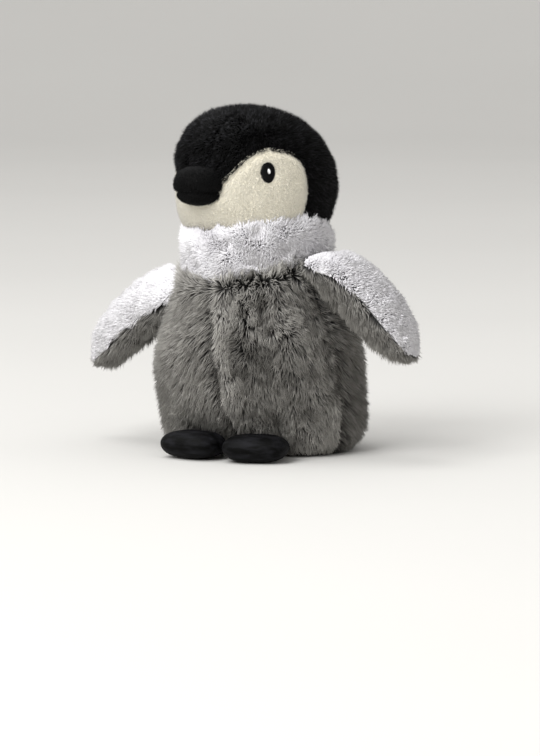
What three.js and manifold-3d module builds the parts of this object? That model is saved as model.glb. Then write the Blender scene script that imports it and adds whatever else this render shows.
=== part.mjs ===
// Plush penguin chick, standing on its own flat base. Millimetres, +Z up, front towards -Y.
// The origin is the middle of the base, on the surface that the toy stands on.
// Left and right are the toy's own: its left side is towards +X.
//
// The toy is a sewn skin of panels round loose filling. Skin panels are bent slabs of cloth, each
// SKIN thick, with a small gap at every seam. The head is a ball that sits in the rim of the
// collar, so that it can turn and nod. Wings and feet are flat pillows, sewn on along one edge.

import * as THREE from 'three';
import { mergeVertices } from 'three/addons/utils/BufferGeometryUtils.js';
import Module from 'manifold-3d';

const wasm = await Module();
wasm.setup();

const DEG = Math.PI / 180;
const SKIN = 4;                 // cloth and the dense root of its pile
const SEAM = 0.4;               // gap between neighbouring pieces

// Torso: half-widths by height, a little flatter front to back, hollowed over the feet.
const TORSO_HALF_WIDTHS = [
  [0, 58], [4, 62], [12, 65.5], [26, 67.5], [46, 68], [66, 67.5], [82, 64],
  [96, 58.5], [110, 53], [122, 50.5], [138, 50], [152, 51],
];
const BELLY_DEPTH_SHARE = 0.93;  // depth over width, below the shoulders
const SHOULDER_Z = 120;          // where the grey skin ends and the pale collar begins, in front
const SHOULDER_LIFT = 6;         // how much higher that seam runs under the wings
const RIM_Z = 151;               // top of the collar
const BASE_TOP = 3.2;            // top of the flat base panel
const SIDE_SEAM = 78 * DEG;      // angle of the side seams, from the front
const FOOT_HOLLOW = 0.31;        // how far the belly is drawn in over the feet, as a share
const FOOT_HOLLOW_TOP = 48;
const TWIST = -10 * DEG;         // how far the shoulders are turned on the base
const LEAN = 0.1;                // slope of the shoulders: the toy's left one is the higher

// Head: a ball below its middle, lower and pushed forwards above it.
const HEAD_R = 54;
const HEAD_CENTRE = new THREE.Vector3(0, -14, 183);
const HEAD_YAW = -22 * DEG;      // the head looks over the toy's right foot
const CROWN_HEIGHT = 51;
const CROWN_FORWARD = 11;
const CROWN_SQUARENESS = 2.25;   // power of the crown's outline: 2 would be an ellipse
const NECK_CUT = -44;            // the head's skin stops here, inside the collar
const GUSSET_HALF_WIDTH = 11;    // strip of hood between the two hood seams

// Wings: pillows with a square root and a blunt tip, sewn on at the side of the shoulders.
const WING = {
  length: 95, halfChord: 25, rise: 14, wall: 3, arch: 18, rootPower: 3.6, tipPower: 2.8,
  outwards: 88 * DEG, clearance: 2.4, rootGap: 1,
};
const WING_Z = { left: 131, right: 121 };
const WING_DROOP = { left: 30 * DEG, right: 27 * DEG };
const WING_ROLL = { left: -14 * DEG, right: -24 * DEG };
const WING_SWEEP = { left: 0, right: 4 * DEG };     // forwards from straight out to the side

// Feet: small pillows with a flatter sole, sewn under the belly along their back edge.
const FOOT = {
  halfWidth: 22.8, halfDepth: 17, rise: 9.3, soleRise: 9, wall: 1.6, lift: 0.2, splay: 14 * DEG,
};
const FOOT_SEAT = { left: [23.4, -69], right: [-23.4, -66] };

// Beak and eyes, in the head's own frame.
const BEAK = {
  middle: new THREE.Vector3(0, -48, 0), size: [17.5, 21.5, 12.6], squareness: 2.5, mouth: -4.5, wall: 2,
};
const EYE = { azimuth: 55 * DEG, height: 10, halfWidth: 5, halfHeight: 7, topHeavy: 0.12, lift: 1.5 };
const GLINT = { across: 0.5, up: 0.8, halfWidth: 1.1, halfHeight: 1.8, low: 1.9, high: 2.5 };

// Fillings and small pieces.
const STUFFING = { low: 36, gap: 1.4, headGap: 0.8 };
const BEAD_BAG = { halfWidth: 51, halfDepth: 43, top: 15.5, bottom: 13, wall: 1.2, y: 3, z: 18 };
const NECK = { radius: 38, bottom: 124.4, cupReach: 35, gap: 0.7 };
const NECK_SEAM = { reach: 43.3, thread: 0.7, z: 143 };
const CLOSING_SEAM = { low: 20, high: 75, halfAngle: 1.2 * DEG, proud: [-1.3, -0.5] };
const LABEL = { standOut: 13, height: 15, thickness: 0.8, angle: 176 * DEG, z: 28, turn: -4 * DEG };

const MEAN_REACH = 60;           // of the torso, which turns a seam's gap into an angle
const BEYOND = 90;               // half the size of a block that is larger than the head

const COLOURS = {
  greyFur: [0x7d7b77, 0.95], paleFur: [0xdcdbdd, 0.95], blackFur: [0x0d0d10, 0.85],
  creamVelour: [0xe9e2cd, 0.9], blackVelour: [0x101013, 0.6], stuffing: [0xf4f4f0, 1],
  liner: [0xe6e0d2, 0.9], beads: [0xb9a37a, 0.7], whiteThread: [0xf8f8f8, 0.5],
  blackThread: [0x0a0a0a, 0.45], greyThread: [0x6f6d69, 0.7], ribbon: [0xf2f2ef, 0.5],
};

const clamp01 = (t) => Math.min(1, Math.max(0, t));
const smooth = (t) => clamp01(t) ** 2 * (3 - 2 * clamp01(t));
const mix = (a, b, t) => a + (b - a) * t;

// Distance to a rounded oblong's outline: a power of 2 is an ellipse, more is squarer.
const roundedReach = (angle, power) => (
  (Math.abs(Math.cos(angle)) ** power + Math.abs(Math.sin(angle)) ** power) ** (-1 / power)
);

// A smooth curve through [place, value] pairs: cubic pieces with the average slope at each pair.
function profile(pairs, place) {
  const last = pairs.length - 1;
  const p = Math.min(pairs[last][0], Math.max(pairs[0][0], place));
  const i = Math.min(last - 1, Math.max(0, pairs.findIndex((pair) => pair[0] > p) - 1));
  const k = p >= pairs[last][0] ? last - 1 : i;
  const slope = (n) => {
    const before = pairs[Math.max(0, n - 1)];
    const after = pairs[Math.min(last, n + 1)];
    return (after[1] - before[1]) / (after[0] - before[0]);
  };
  const step = pairs[k + 1][0] - pairs[k][0];
  const t = (p - pairs[k][0]) / step;
  const [a, b] = [pairs[k][1], pairs[k + 1][1]];
  return (2 * t ** 3 - 3 * t ** 2 + 1) * a + (t ** 3 - 2 * t ** 2 + t) * step * slope(k)
    + (3 * t ** 2 - 2 * t ** 3) * b + (t ** 3 - t ** 2) * step * slope(k + 1);
}

// Point of the torso's skin: phi from the front towards the toy's left, inset inwards.
function torsoPoint(phi, z, inset = 0) {
  const halfWidth = profile(TORSO_HALF_WIDTHS, z);
  const share = mix(BELLY_DEPTH_SHARE, 1, smooth((z - 80) / 45));
  const hollow = FOOT_HOLLOW * smooth(1 - z / FOOT_HOLLOW_TOP) * Math.max(0, Math.cos(phi)) ** 3;
  const x = (halfWidth * (1 - hollow) - inset) * Math.sin(phi);
  const y = -(halfWidth * share * (1 - hollow) - inset) * Math.cos(phi);
  const rise = smooth(z / SHOULDER_Z);
  const turn = TWIST * rise;
  const turnedX = x * Math.cos(turn) - y * Math.sin(turn);
  return new THREE.Vector3(
    turnedX + HEAD_CENTRE.x * rise,
    x * Math.sin(turn) + y * Math.cos(turn) + HEAD_CENTRE.y * rise,
    z + LEAN * turnedX * rise,
  );
}

// Point of the head's skin in the direction s, in the head's own frame, which faces -Y.
function headPoint(s, inset = 0) {
  const r = HEAD_R - inset;
  if (s.z <= 0) return s.clone().multiplyScalar(r);
  const square = roundedReach(Math.asin(Math.min(1, s.z)), CROWN_SQUARENESS);
  return new THREE.Vector3(
    r * s.x * square,
    r * s.y * square - CROWN_FORWARD * s.z ** 1.4,
    (CROWN_HEIGHT - inset) * s.z * square,
  );
}

function signedVolume(geometry) {
  const { array } = geometry.getAttribute('position');
  const index = geometry.getIndex().array;
  const corner = (n) => new THREE.Vector3().fromArray(array, 3 * index[n]);
  let sum = 0;
  for (let n = 0; n < index.length; n += 3) {
    sum += corner(n).dot(corner(n + 1).cross(corner(n + 2))) / 6;
  }
  return sum;
}

// Moves every corner of a closed geometry by place(point), and turns its faces outwards.
function bend(geometry, place) {
  const position = geometry.getAttribute('position');
  for (let n = 0; n < position.count; n += 1) {
    const p = place(new THREE.Vector3().fromBufferAttribute(position, n));
    position.setXYZ(n, p.x, p.y, p.z);
  }
  geometry.deleteAttribute('normal');
  geometry.deleteAttribute('uv');
  const merged = mergeVertices(geometry, 1e-3);
  if (signedVolume(merged) < 0) merged.getIndex().array.reverse();
  return merged;
}

function toSolid(geometry) {
  const vertProperties = new Float32Array(geometry.getAttribute('position').array);
  const triVerts = new Uint32Array(geometry.getIndex().array);
  return new wasm.Manifold(new wasm.Mesh({ numProp: 3, vertProperties, triVerts }));
}

function toGeometry(solid) {
  const mesh = solid.getMesh();
  const geometry = new THREE.BufferGeometry();
  geometry.setAttribute('position', new THREE.BufferAttribute(mesh.vertProperties, 3));
  geometry.setIndex(new THREE.BufferAttribute(mesh.triVerts, 1));
  return geometry;
}

function piece(name, geometry, finish) {
  const [color, roughness] = COLOURS[finish];
  geometry.computeVertexNormals();
  const material = new THREE.MeshStandardMaterial({ color, roughness, metalness: 0 });
  const mesh = new THREE.Mesh(geometry, material);
  mesh.name = name;
  return mesh;
}

// A height of the torso that is level all round, and the height of the collar's lower seam.
const level = (z) => () => z;
const shoulderSeam = (gap) => (phi) => SHOULDER_Z + SHOULDER_LIFT * Math.sin(phi) ** 2 + gap;

// A bent slab of skin between two angles and two heights of the torso.
function torsoPanel([phi0, phi1], [low, high], [across, up], [outside, inside] = [0, SKIN]) {
  return bend(new THREE.BoxGeometry(1, 1, 1, across, up, 1), ({ x, y, z }) => {
    const gap = SEAM / 2 / MEAN_REACH;
    const phi = mix(phi0 + gap, phi1 - gap, x + 0.5);
    return torsoPoint(phi, mix(low(phi), high(phi), y + 0.5), mix(inside, outside, z + 0.5));
  });
}

// A plug that fills the torso between two heights, inset from its skin.
function torsoPlug(z0, z1, inset, around, up) {
  return bend(new THREE.CylinderGeometry(1, 1, 1, around, up), ({ x, y, z }) => {
    const reach = Math.hypot(x, z);
    const edge = torsoPoint(Math.atan2(x, z), mix(z0, z1, y + 0.5), inset);
    const rise = smooth(edge.z / SHOULDER_Z);
    const middle = new THREE.Vector3(HEAD_CENTRE.x * rise, HEAD_CENTRE.y * rise, edge.z);
    return middle.lerp(edge, reach);
  });
}

// One half of a sewn pillow: a thin dome whose wall runs out to nothing at its rim.
// rim(angle) is the outline, rise(share) the dome's height at that share of the way out.
function pillowHalf({ rim, rise, wall, side, around = 20, rings = 8 }) {
  return bend(new THREE.SphereGeometry(1, around, rings).rotateX(90 * DEG), ({ x, y, z }) => {
    const share = Math.min(1, Math.hypot(x, y));
    const edge = rim(Math.atan2(y, x));
    const depth = z >= -1e-6 ? 0 : wall * -z;
    const height = Math.max(rise(share) - depth, 0) + SEAM / 2;
    return new THREE.Vector3(edge.x * share, edge.y * share, side * height);
  });
}

// The filling of a pillow: both domes, inset by the wall.
function pillowFilling({ rim, rises, wall, around = 16, rings = 8 }) {
  return bend(new THREE.SphereGeometry(1, around, rings).rotateX(90 * DEG), ({ x, y, z }) => {
    const share = Math.min(1, Math.hypot(x, y));
    const edge = rim(Math.atan2(y, x));
    const inside = 0.86 * share;
    const rise = z >= 0 ? rises[0] : rises[1];
    const height = Math.max(rise(inside) - wall - SEAM, 0) * smooth(Math.abs(z) * 2.2);
    return new THREE.Vector3(edge.x * inside, edge.y * inside, Math.sign(z) * height);
  });
}

// ---- Torso ----

function torso() {
  const [front, left, back] = [0, SIDE_SEAM, 180 * DEG];
  const skirt = [level(BASE_TOP + SEAM), shoulderSeam(-SEAM / 2)];
  const collar = [shoulderSeam(SEAM / 2), level(RIM_Z)];
  const thread = [level(CLOSING_SEAM.low), level(CLOSING_SEAM.high)];
  const { halfAngle, proud } = CLOSING_SEAM;
  const group = new THREE.Group();
  group.add(
    piece('belly_panel_left', torsoPanel([front, left], skirt, [6, 9]), 'greyFur'),
    piece('belly_panel_right', torsoPanel([-left, -front], skirt, [6, 9]), 'greyFur'),
    piece('back_panel_left', torsoPanel([left, back], skirt, [8, 9]), 'greyFur'),
    piece('back_panel_right', torsoPanel([-back, -left], skirt, [8, 9]), 'greyFur'),
    piece('base_panel', torsoPlug(0, BASE_TOP, 0, 30, 1), 'greyFur'),
    piece('collar_front', torsoPanel([-left, left], collar, [11, 3]), 'paleFur'),
    piece('collar_back', torsoPanel([left, 2 * back - left], collar, [15, 3]), 'paleFur'),
    piece('body_stuffing',
      torsoPlug(STUFFING.low, SHOULDER_Z - 1, SKIN + STUFFING.gap, 20, 5), 'stuffing'),
    piece('closing_seam',
      torsoPanel([back - halfAngle, back + halfAngle], thread, [1, 6], proud), 'greyThread'),
    ...beadBag(),
    neckSeam(),
    careLabel(),
  );
  return group;
}

// A flat bag of beads over the base, which makes the toy bottom-heavy.
function beadBag() {
  const { halfWidth, halfDepth, wall } = BEAD_BAG;
  const rim = (angle) => new THREE.Vector2(halfWidth * Math.cos(angle), halfDepth * Math.sin(angle));
  const rise = (height) => (share) => height * (1 - share ** 2.4) ** 0.6;
  const [top, bottom] = [rise(BEAD_BAG.top), rise(BEAD_BAG.bottom)];
  const placed = (name, geometry, finish) => {
    const mesh = piece(name, geometry, finish);
    mesh.position.set(0, BEAD_BAG.y, BEAD_BAG.z);
    return mesh;
  };
  return [
    placed('bead_bag_top', pillowHalf({ rim, rise: top, wall, side: 1 }), 'liner'),
    placed('bead_bag_bottom', pillowHalf({ rim, rise: bottom, wall, side: -1 }), 'liner'),
    placed('bead_filling', pillowFilling({ rim, rises: [top, bottom], wall }), 'beads'),
  ];
}

// The thread that draws the collar round the neck, between the collar and the ball of the head.
function neckSeam() {
  const ring = bend(new THREE.TorusGeometry(NECK_SEAM.reach, NECK_SEAM.thread, 5, 24), (p) => p);
  const mesh = piece('neck_seam', ring, 'greyThread');
  mesh.position.set(HEAD_CENTRE.x, HEAD_CENTRE.y, NECK_SEAM.z);
  return mesh;
}

// A blank folded ribbon, sewn into the back seam low down.
function careLabel() {
  const { standOut, height, thickness, angle, z, turn } = LABEL;
  const ribbon = bend(new THREE.BoxGeometry(thickness, standOut, height), (p) => p);
  const mesh = piece('care_label', ribbon, 'ribbon');
  mesh.position.copy(torsoPoint(angle, z, -standOut / 2 - 2 * SEAM));
  mesh.rotation.z = turn;
  return mesh;
}

// ---- Neck and head ----

// A firm wad under the head: flat below, and a cup that the head's ball sits in above.
function neck() {
  const { radius, cupReach } = NECK;
  const cup = HEAD_R + NECK.gap;
  const bottom = NECK.bottom - HEAD_CENTRE.z;
  const points = [new THREE.Vector2(0, bottom), new THREE.Vector2(radius, bottom)];
  points.push(new THREE.Vector2(radius, -cup * Math.cos(Math.asin(radius / cup))));
  const steps = 5;
  for (let n = steps; n >= 0; n -= 1) {
    const reach = (cupReach * n) / steps;
    points.push(new THREE.Vector2(reach, -Math.sqrt(cup ** 2 - reach ** 2)));
  }
  const geometry = new THREE.LatheGeometry(points, 20).rotateX(90 * DEG);
  const mesh = piece('neck_stuffing', bend(geometry, (p) => p), 'stuffing');
  mesh.position.copy(HEAD_CENTRE);
  return mesh;
}

// Side outline of the cream face, as [forwards, up] from the middle of the head: beside the beak,
// over the eye, and down the back of the cheek into the collar.
const BROW = [[49, 6], [41.5, 17.5], [27, 25.3], [12, 22.5], [4.5, 11], [3, -6], [5, -24]];
const CHIN_Z = -6;

// The whole outline: the brow's curve, closed in front of the chin and under the neck.
function faceOutline() {
  const corners = (pairs) => pairs.map((pair) => new THREE.Vector2(...pair));
  const shape = new THREE.Shape(corners([[80, -70], [80, CHIN_Z], [51.5, CHIN_Z]]));
  shape.splineThru(corners(BROW));
  shape.lineTo(5, -70);
  return shape.extractPoints(2).shape;
}

// The outline moved outwards along its own normals. It runs anticlockwise.
function grown(outline, by) {
  const at = (n) => outline[(n + outline.length) % outline.length].clone();
  return outline.map((_, n) => {
    const run = at(n + 1).sub(at(n - 1)).normalize();
    return at(n).add(new THREE.Vector2(run.y, -run.x).multiplyScalar(by));
  });
}

// A prism across the whole head with that side outline.
function facePrism(by) {
  const shape = new THREE.Shape(grown(faceOutline(), by));
  const prism = new THREE.ExtrudeGeometry(shape, { depth: 2 * BEYOND, bevelEnabled: false });
  return toSolid(bend(prism, ({ x, y, z }) => new THREE.Vector3(z - BEYOND, -x, y)));
}

function block([x0, x1], [y0, y1], [z0, z1]) {
  const box = new THREE.BoxGeometry(x1 - x0, y1 - y0, z1 - z0);
  box.translate((x0 + x1) / 2, (y0 + y1) / 2, (z0 + z1) / 2);
  return toSolid(bend(box, (p) => p));
}

function headBall(inset, around, rings) {
  const ball = new THREE.SphereGeometry(1, around, rings).rotateX(90 * DEG);
  return bend(ball, (s) => headPoint(s, inset));
}

function head() {
  const group = new THREE.Group();
  group.position.copy(HEAD_CENTRE);
  group.rotation.z = HEAD_YAW;
  const wide = [-BEYOND, BEYOND];
  const skin = toSolid(headBall(0, 28, 18))
    .subtract(toSolid(headBall(SKIN, 18, 12)))
    .subtract(block(wide, wide, [-BEYOND, NECK_CUT]));
  const hood = skin.subtract(facePrism(SEAM / 2));
  const gusset = GUSSET_HALF_WIDTH - SEAM / 2;
  const side = GUSSET_HALF_WIDTH + SEAM / 2;
  const underNeck = block(wide, wide, [-BEYOND, NECK_CUT - SEAM]);
  const plug = toSolid(headBall(0, 20, 14)).intersect(underNeck);
  const stuffing = toSolid(headBall(SKIN + STUFFING.headGap, 18, 12)).add(plug);
  const leftOf = block([side, BEYOND], wide, wide);
  const rightOf = block([-BEYOND, -side], wide, wide);
  const between = block([-gusset, gusset], wide, wide);
  group.add(
    piece('face_panel', toGeometry(skin.intersect(facePrism(-SEAM / 2))), 'creamVelour'),
    piece('hood_left', toGeometry(hood.intersect(leftOf)), 'blackFur'),
    piece('hood_right', toGeometry(hood.intersect(rightOf)), 'blackFur'),
    piece('hood_gusset', toGeometry(hood.intersect(between)), 'blackFur'),
    piece('head_stuffing', toGeometry(stuffing), 'stuffing'),
    ...beak(),
    ...eye('left', 1),
    ...eye('right', -1),
  );
  return group;
}

// A blunt rounded snout: an upper and a lower velour piece over a small wad.
function beak() {
  const { middle, size, squareness, mouth, wall } = BEAK;
  const ball = (inset) => toSolid(bend(
    new THREE.SphereGeometry(1, 18, 12).rotateX(90 * DEG),
    (s) => {
      const square = roundedReach(Math.atan2(s.z, Math.hypot(s.x, s.y)), squareness);
      return new THREE.Vector3(s.x, s.y, s.z).multiplyScalar(square)
        .multiply(new THREE.Vector3(...size.map((length) => length - inset))).add(middle);
    },
  ));
  const seat = toSolid(headBall(-SEAM, 28, 18));
  const cloth = ball(0).subtract(ball(wall)).subtract(seat);
  const wide = [-BEYOND, BEYOND];
  const above = block(wide, wide, [mouth + SEAM / 2, BEYOND]);
  const below = block(wide, wide, [-BEYOND, mouth - SEAM / 2]);
  return [
    piece('beak_upper', toGeometry(cloth.intersect(above)), 'blackVelour'),
    piece('beak_lower', toGeometry(cloth.intersect(below)), 'blackVelour'),
    piece('beak_stuffing', toGeometry(ball(wall + SEAM).subtract(seat)), 'stuffing'),
  ];
}

// An embroidered eye and the white stitches of its glint, both raised a little off the face.
function eye(name, side) {
  const { azimuth, height, halfWidth, halfHeight, topHeavy, lift } = EYE;
  const onHead = (across, up, proud) => {
    const turn = side * (azimuth + across / HEAD_R);
    const rise = Math.asin((height + up) / HEAD_R);
    const reach = Math.cos(rise);
    return headPoint(new THREE.Vector3(
      Math.sin(turn) * reach, -Math.cos(turn) * reach, Math.sin(rise),
    ), -proud);
  };
  const patch = (w, h, [offX, offZ], low, high) => bend(
    new THREE.SphereGeometry(1, 14, 6).rotateX(90 * DEG),
    ({ x, y, z }) => onHead(
      offX + w * x * (1 + topHeavy * y), offZ + h * y, z > 0 ? mix(low, high, z ** 0.7) : low,
    ),
  );
  const pupil = patch(halfWidth, halfHeight, [0, 0], SEAM, lift);
  const glint = patch(
    GLINT.halfWidth, GLINT.halfHeight, [GLINT.across, GLINT.up], GLINT.low, GLINT.high,
  );
  return [
    piece(`eye_${name}`, pupil, 'blackThread'),
    piece(`eye_glint_${name}`, glint, 'whiteThread'),
  ];
}

// ---- Wings ----

// One wing in its own frame: x out from the shoulder seam, y across, z up through its top.
function wing(name, side) {
  const { length, halfChord, rise, wall, arch } = WING;
  const centre = length / 2 + WING.rootGap;
  const rim = (angle) => {
    const reach = roundedReach(angle, Math.cos(angle) < 0 ? WING.rootPower : WING.tipPower);
    const taper = 1 - 0.1 * Math.cos(angle);
    return new THREE.Vector2(
      (length / 2) * reach * Math.cos(angle),
      halfChord * taper * reach * Math.sin(angle),
    );
  };
  const dome = (share) => rise * (1 - share ** 2.2) ** 0.66;
  const arched = (geometry) => bend(geometry, (p) => {
    const out = (p.x + length / 2) / length;
    return new THREE.Vector3(p.x + centre, p.y, p.z - arch * out ** 2);
  });
  const half = (up) => arched(pillowHalf({ rim, rise: dome, wall, side: up }));
  const filling = arched(pillowFilling({ rim, rises: [dome, dome], wall }));
  const group = new THREE.Group();
  group.position.copy(torsoPoint(side * WING.outwards, WING_Z[name], -WING.clearance));
  const way = TWIST + (side > 0 ? 0 : 180 * DEG) - side * WING_SWEEP[name];
  group.rotation.set(WING_ROLL[name], WING_DROOP[name], way, 'ZYX');
  group.add(
    piece(`wing_top_${name}`, half(1), 'paleFur'),
    piece(`wing_underside_${name}`, half(-1), 'greyFur'),
    piece(`wing_stuffing_${name}`, filling, 'stuffing'),
  );
  return group;
}

// ---- Feet ----

// One foot: a small flat-soled pillow whose back edge is sewn under the belly.
function foot(name, side) {
  const { halfWidth, halfDepth, rise, soleRise, wall, lift, splay } = FOOT;
  const rim = (angle) => {
    const reach = roundedReach(angle, 2.3);
    return new THREE.Vector2(
      halfWidth * reach * Math.cos(angle),
      halfDepth * reach * Math.sin(angle),
    );
  };
  const upper = (share) => rise * (1 - share ** 2.2) ** 0.6;
  const sole = (share) => soleRise * (1 - share ** 4) ** 0.6;
  const shape = { rim, wall, around: 16, rings: 8 };
  const filling = pillowFilling({ rim, rises: [upper, sole], wall, around: 14, rings: 6 });
  const [x, y] = FOOT_SEAT[name];
  const group = new THREE.Group();
  group.position.set(x, y, rise + lift);
  group.rotation.z = side * splay;
  group.add(
    piece(`foot_upper_${name}`, pillowHalf({ ...shape, rise: upper, side: 1 }), 'blackVelour'),
    piece(`foot_sole_${name}`, pillowHalf({ ...shape, rise: sole, side: -1 }), 'blackVelour'),
    piece(`foot_stuffing_${name}`, filling, 'stuffing'),
  );
  return group;
}

const penguin = new THREE.Group();
penguin.add(
  torso(), neck(), head(), wing('left', 1), wing('right', -1), foot('left', 1), foot('right', -1),
);

export default penguin;
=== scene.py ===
import bpy
import math
import numpy as np
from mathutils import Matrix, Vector


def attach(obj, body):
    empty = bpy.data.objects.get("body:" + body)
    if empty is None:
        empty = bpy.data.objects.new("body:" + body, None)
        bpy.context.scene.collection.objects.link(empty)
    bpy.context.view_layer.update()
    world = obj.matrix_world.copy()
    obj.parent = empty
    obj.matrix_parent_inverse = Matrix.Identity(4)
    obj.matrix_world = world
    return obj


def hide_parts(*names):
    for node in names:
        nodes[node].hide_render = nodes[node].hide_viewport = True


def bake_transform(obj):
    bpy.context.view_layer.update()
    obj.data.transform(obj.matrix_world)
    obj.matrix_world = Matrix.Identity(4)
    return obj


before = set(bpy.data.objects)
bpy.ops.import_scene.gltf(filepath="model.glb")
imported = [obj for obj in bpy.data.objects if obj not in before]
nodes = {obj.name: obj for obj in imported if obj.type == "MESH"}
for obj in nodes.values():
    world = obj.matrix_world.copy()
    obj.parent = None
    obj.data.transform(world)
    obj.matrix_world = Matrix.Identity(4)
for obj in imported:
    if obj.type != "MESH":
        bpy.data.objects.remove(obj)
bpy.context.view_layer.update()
print("frame loaded:", len(nodes), "nodes")

# Shapes are worked out in millimetres in the part's own frame: front -Y, the toy's left +X.
mm = 0.001
rad = math.pi / 180


def smooth(t):  # 3t^2 - 2t^3, held at 0 and 1 outside
    t = np.clip(t, 0, 1)
    return t * t * (3 - 2 * t)


def mix(a, b, t):
    return a + (b - a) * t


def unit(v):
    return v / np.maximum(np.linalg.norm(v, axis=-1, keepdims=True), 1e-9)


def stack(x, y, z):
    return np.stack(np.broadcast_arrays(x, y, z), -1).astype(float)


def bump(t, width):  # a bell of that half-width about 0
    return np.exp(-(t / width) ** 2)


def roundedReach(angle, power):  # distance to a rounded oblong: power 2 is a circle, more is squarer
    return (np.abs(np.cos(angle)) ** power + np.abs(np.sin(angle)) ** power) ** (-1 / power)


def through(pairs, place):  # cubic pieces through [place, value] pairs, with the average slope at each
    at, value = np.array(pairs, float).T
    slope = np.gradient(value)
    slope[1:-1] = (value[2:] - value[:-2]) / (at[2:] - at[:-2])
    slope[0] = (value[1] - value[0]) / (at[1] - at[0])
    slope[-1] = (value[-1] - value[-2]) / (at[-1] - at[-2])
    p = np.clip(place, at[0], at[-1])
    k = np.clip(np.searchsorted(at, p, side="right") - 1, 0, len(at) - 2)
    step = at[k + 1] - at[k]
    t = (p - at[k]) / step
    return ((2 * t**3 - 3 * t**2 + 1) * value[k] + (t**3 - 2 * t**2 + t) * step * slope[k]
            + (3 * t**2 - 2 * t**3) * value[k + 1] + (t**3 - t**2) * step * slope[k + 1])


def turnedZ(p, angle):
    c, s = np.cos(angle), np.sin(angle)
    return stack(p[..., 0] * c - p[..., 1] * s, p[..., 0] * s + p[..., 1] * c, p[..., 2])


def makeMesh(name, corners, triangles, places, material):
    # corners in mm, triangles as corner numbers, places as one UV for each triangle corner
    data = bpy.data.meshes.new(name)
    data.vertices.add(len(corners))
    data.vertices.foreach_set("co", (corners * mm).astype(np.float32).ravel())
    data.loops.add(triangles.size)
    data.loops.foreach_set("vertex_index", triangles.astype(np.int32).ravel())
    data.polygons.add(len(triangles))
    data.polygons.foreach_set("loop_start", np.arange(0, triangles.size, 3, dtype=np.int32))
    data.polygons.foreach_set("use_smooth", np.ones(len(triangles), bool))
    data.update(calc_edges=True)
    if places is not None:
        layer = data.uv_layers.new(name="OFBake")
        layer.uv.foreach_set("vector", places.astype(np.float32).ravel())
    data.materials.append(material)
    made = bpy.data.objects.new(name, data)
    bpy.context.scene.collection.objects.link(made)
    return made


mergeWithin = 0.002  # mm: points nearer than this are one corner


def gridOf(cells):  # an even grid over (u, v), and its triangles as grid-point numbers
    nu, nv = cells
    u, v = (a.ravel() for a in np.meshgrid(np.linspace(0, 1, nu + 1), np.linspace(0, 1, nv + 1)))
    a = (np.arange(nv)[:, None] * (nu + 1) + np.arange(nu)).ravel()
    halves = [np.stack([a, a + 1, a + nu + 2], 1), np.stack([a, a + nu + 2, a + nu + 1], 1)]
    return u, v, np.concatenate(halves)


def merged(p):  # the first of each set of points that coincide, and every point's number among those
    steps = np.round(p / mergeWithin).astype(np.int64)
    _, first, home = np.unique(steps, axis=0, return_index=True, return_inverse=True)
    return first, home.ravel()


def sound(faces):  # true for each triangle that still has three different corners
    return (faces != np.roll(faces, 1, axis=1)).all(1)


def closedSurface(surface, cells):  # a grid over the surface, its coinciding points merged
    u, v, grid = gridOf(cells)
    p = surface(u, v)
    first, home = merged(p)
    faces = home[grid]
    return p[first], faces[sound(faces)]


def slopes(surface, u, v, inside):
    # a surface's points, its outward normals, the area each unit of (u, v) stands for, and 1 or -1
    # for which way round the surface runs
    step = 1e-4
    p = surface(u, v)
    across = (surface(u + step, v) - surface(u - step, v)) / (2 * step)
    up = (surface(u, v + step) - surface(u, v - step)) / (2 * step)
    normal = np.cross(across, up)
    area = np.linalg.norm(normal, axis=-1)
    normal = unit(normal)
    side = np.sign(((p - inside(p)) * normal).sum(-1).mean())
    return p, normal * side, area, side


# where cloth lies on the map: a middle tone, and the root end, dark with the pile's painted shade; "wall" is
# an edge's width there
clothMap = {"left": 0.3, "wide": 0.4, "low": 0.005, "tall": 0.07, "wall": 0.004, "fromPole": 2e-3}


def clothShell(surface, inside, cells, thickness, keep=None):
    # A closed slab of cloth: a grid of points on the surface, the same points moved in by the
    # thickness, and walls along every open edge. Points that coincide at poles and joins are merged.
    u, v, grid = gridOf(cells)
    safeU, safeV = (np.clip(a, clothMap["fromPole"], 1 - clothMap["fromPole"]) for a in (u, v))
    normal, side = slopes(surface, safeU, safeV, inside)[1::2]
    p = surface(u, v)
    first, home = merged(p)
    joined = np.zeros((len(first), 3))
    np.add.at(joined, home, normal)
    if side < 0:
        grid = grid[:, ::-1]
    if keep is not None:
        grid = grid[keep(p[grid].mean(1))]
    faces = home[grid]
    whole = sound(faces)
    grid, faces = grid[whole], faces[whole]
    count = len(first)
    corners = np.concatenate([p[first], p[first] - unit(joined) * thickness])
    uv = np.stack([clothMap["left"] + clothMap["wide"] * u, clothMap["low"] + clothMap["tall"] * v], 1)
    edge = np.concatenate([faces[:, [0, 1]], faces[:, [1, 2]], faces[:, [2, 0]]])
    edgeUv = np.concatenate([grid[:, [0, 1]], grid[:, [1, 2]], grid[:, [2, 0]]])
    open_ = ~np.isin(edge[:, 0] * count + edge[:, 1], edge[:, 1] * count + edge[:, 0])
    edge, edgeUv = edge[open_], edgeUv[open_]
    e0, e1 = edge.T
    walls = np.concatenate([np.stack([e1, e0, e0 + count], 1), np.stack([e1, e0 + count, e1 + count], 1)])
    u0, u1 = uv[edgeUv[:, 0]], uv[edgeUv[:, 1]]
    in0, in1 = u0 + clothMap["wall"], u1 + clothMap["wall"]
    wallUv = np.concatenate([np.stack([u1, u0, in0], 1), np.stack([u1, in0, in1], 1)])
    triangles = np.concatenate([faces, faces[:, ::-1] + count, walls])
    places = np.concatenate([uv[grid], uv[grid[:, ::-1]], wallUv])
    used, renumbered = np.unique(triangles, return_inverse=True)
    return corners[used], renumbered.reshape(triangles.shape), places


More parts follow.
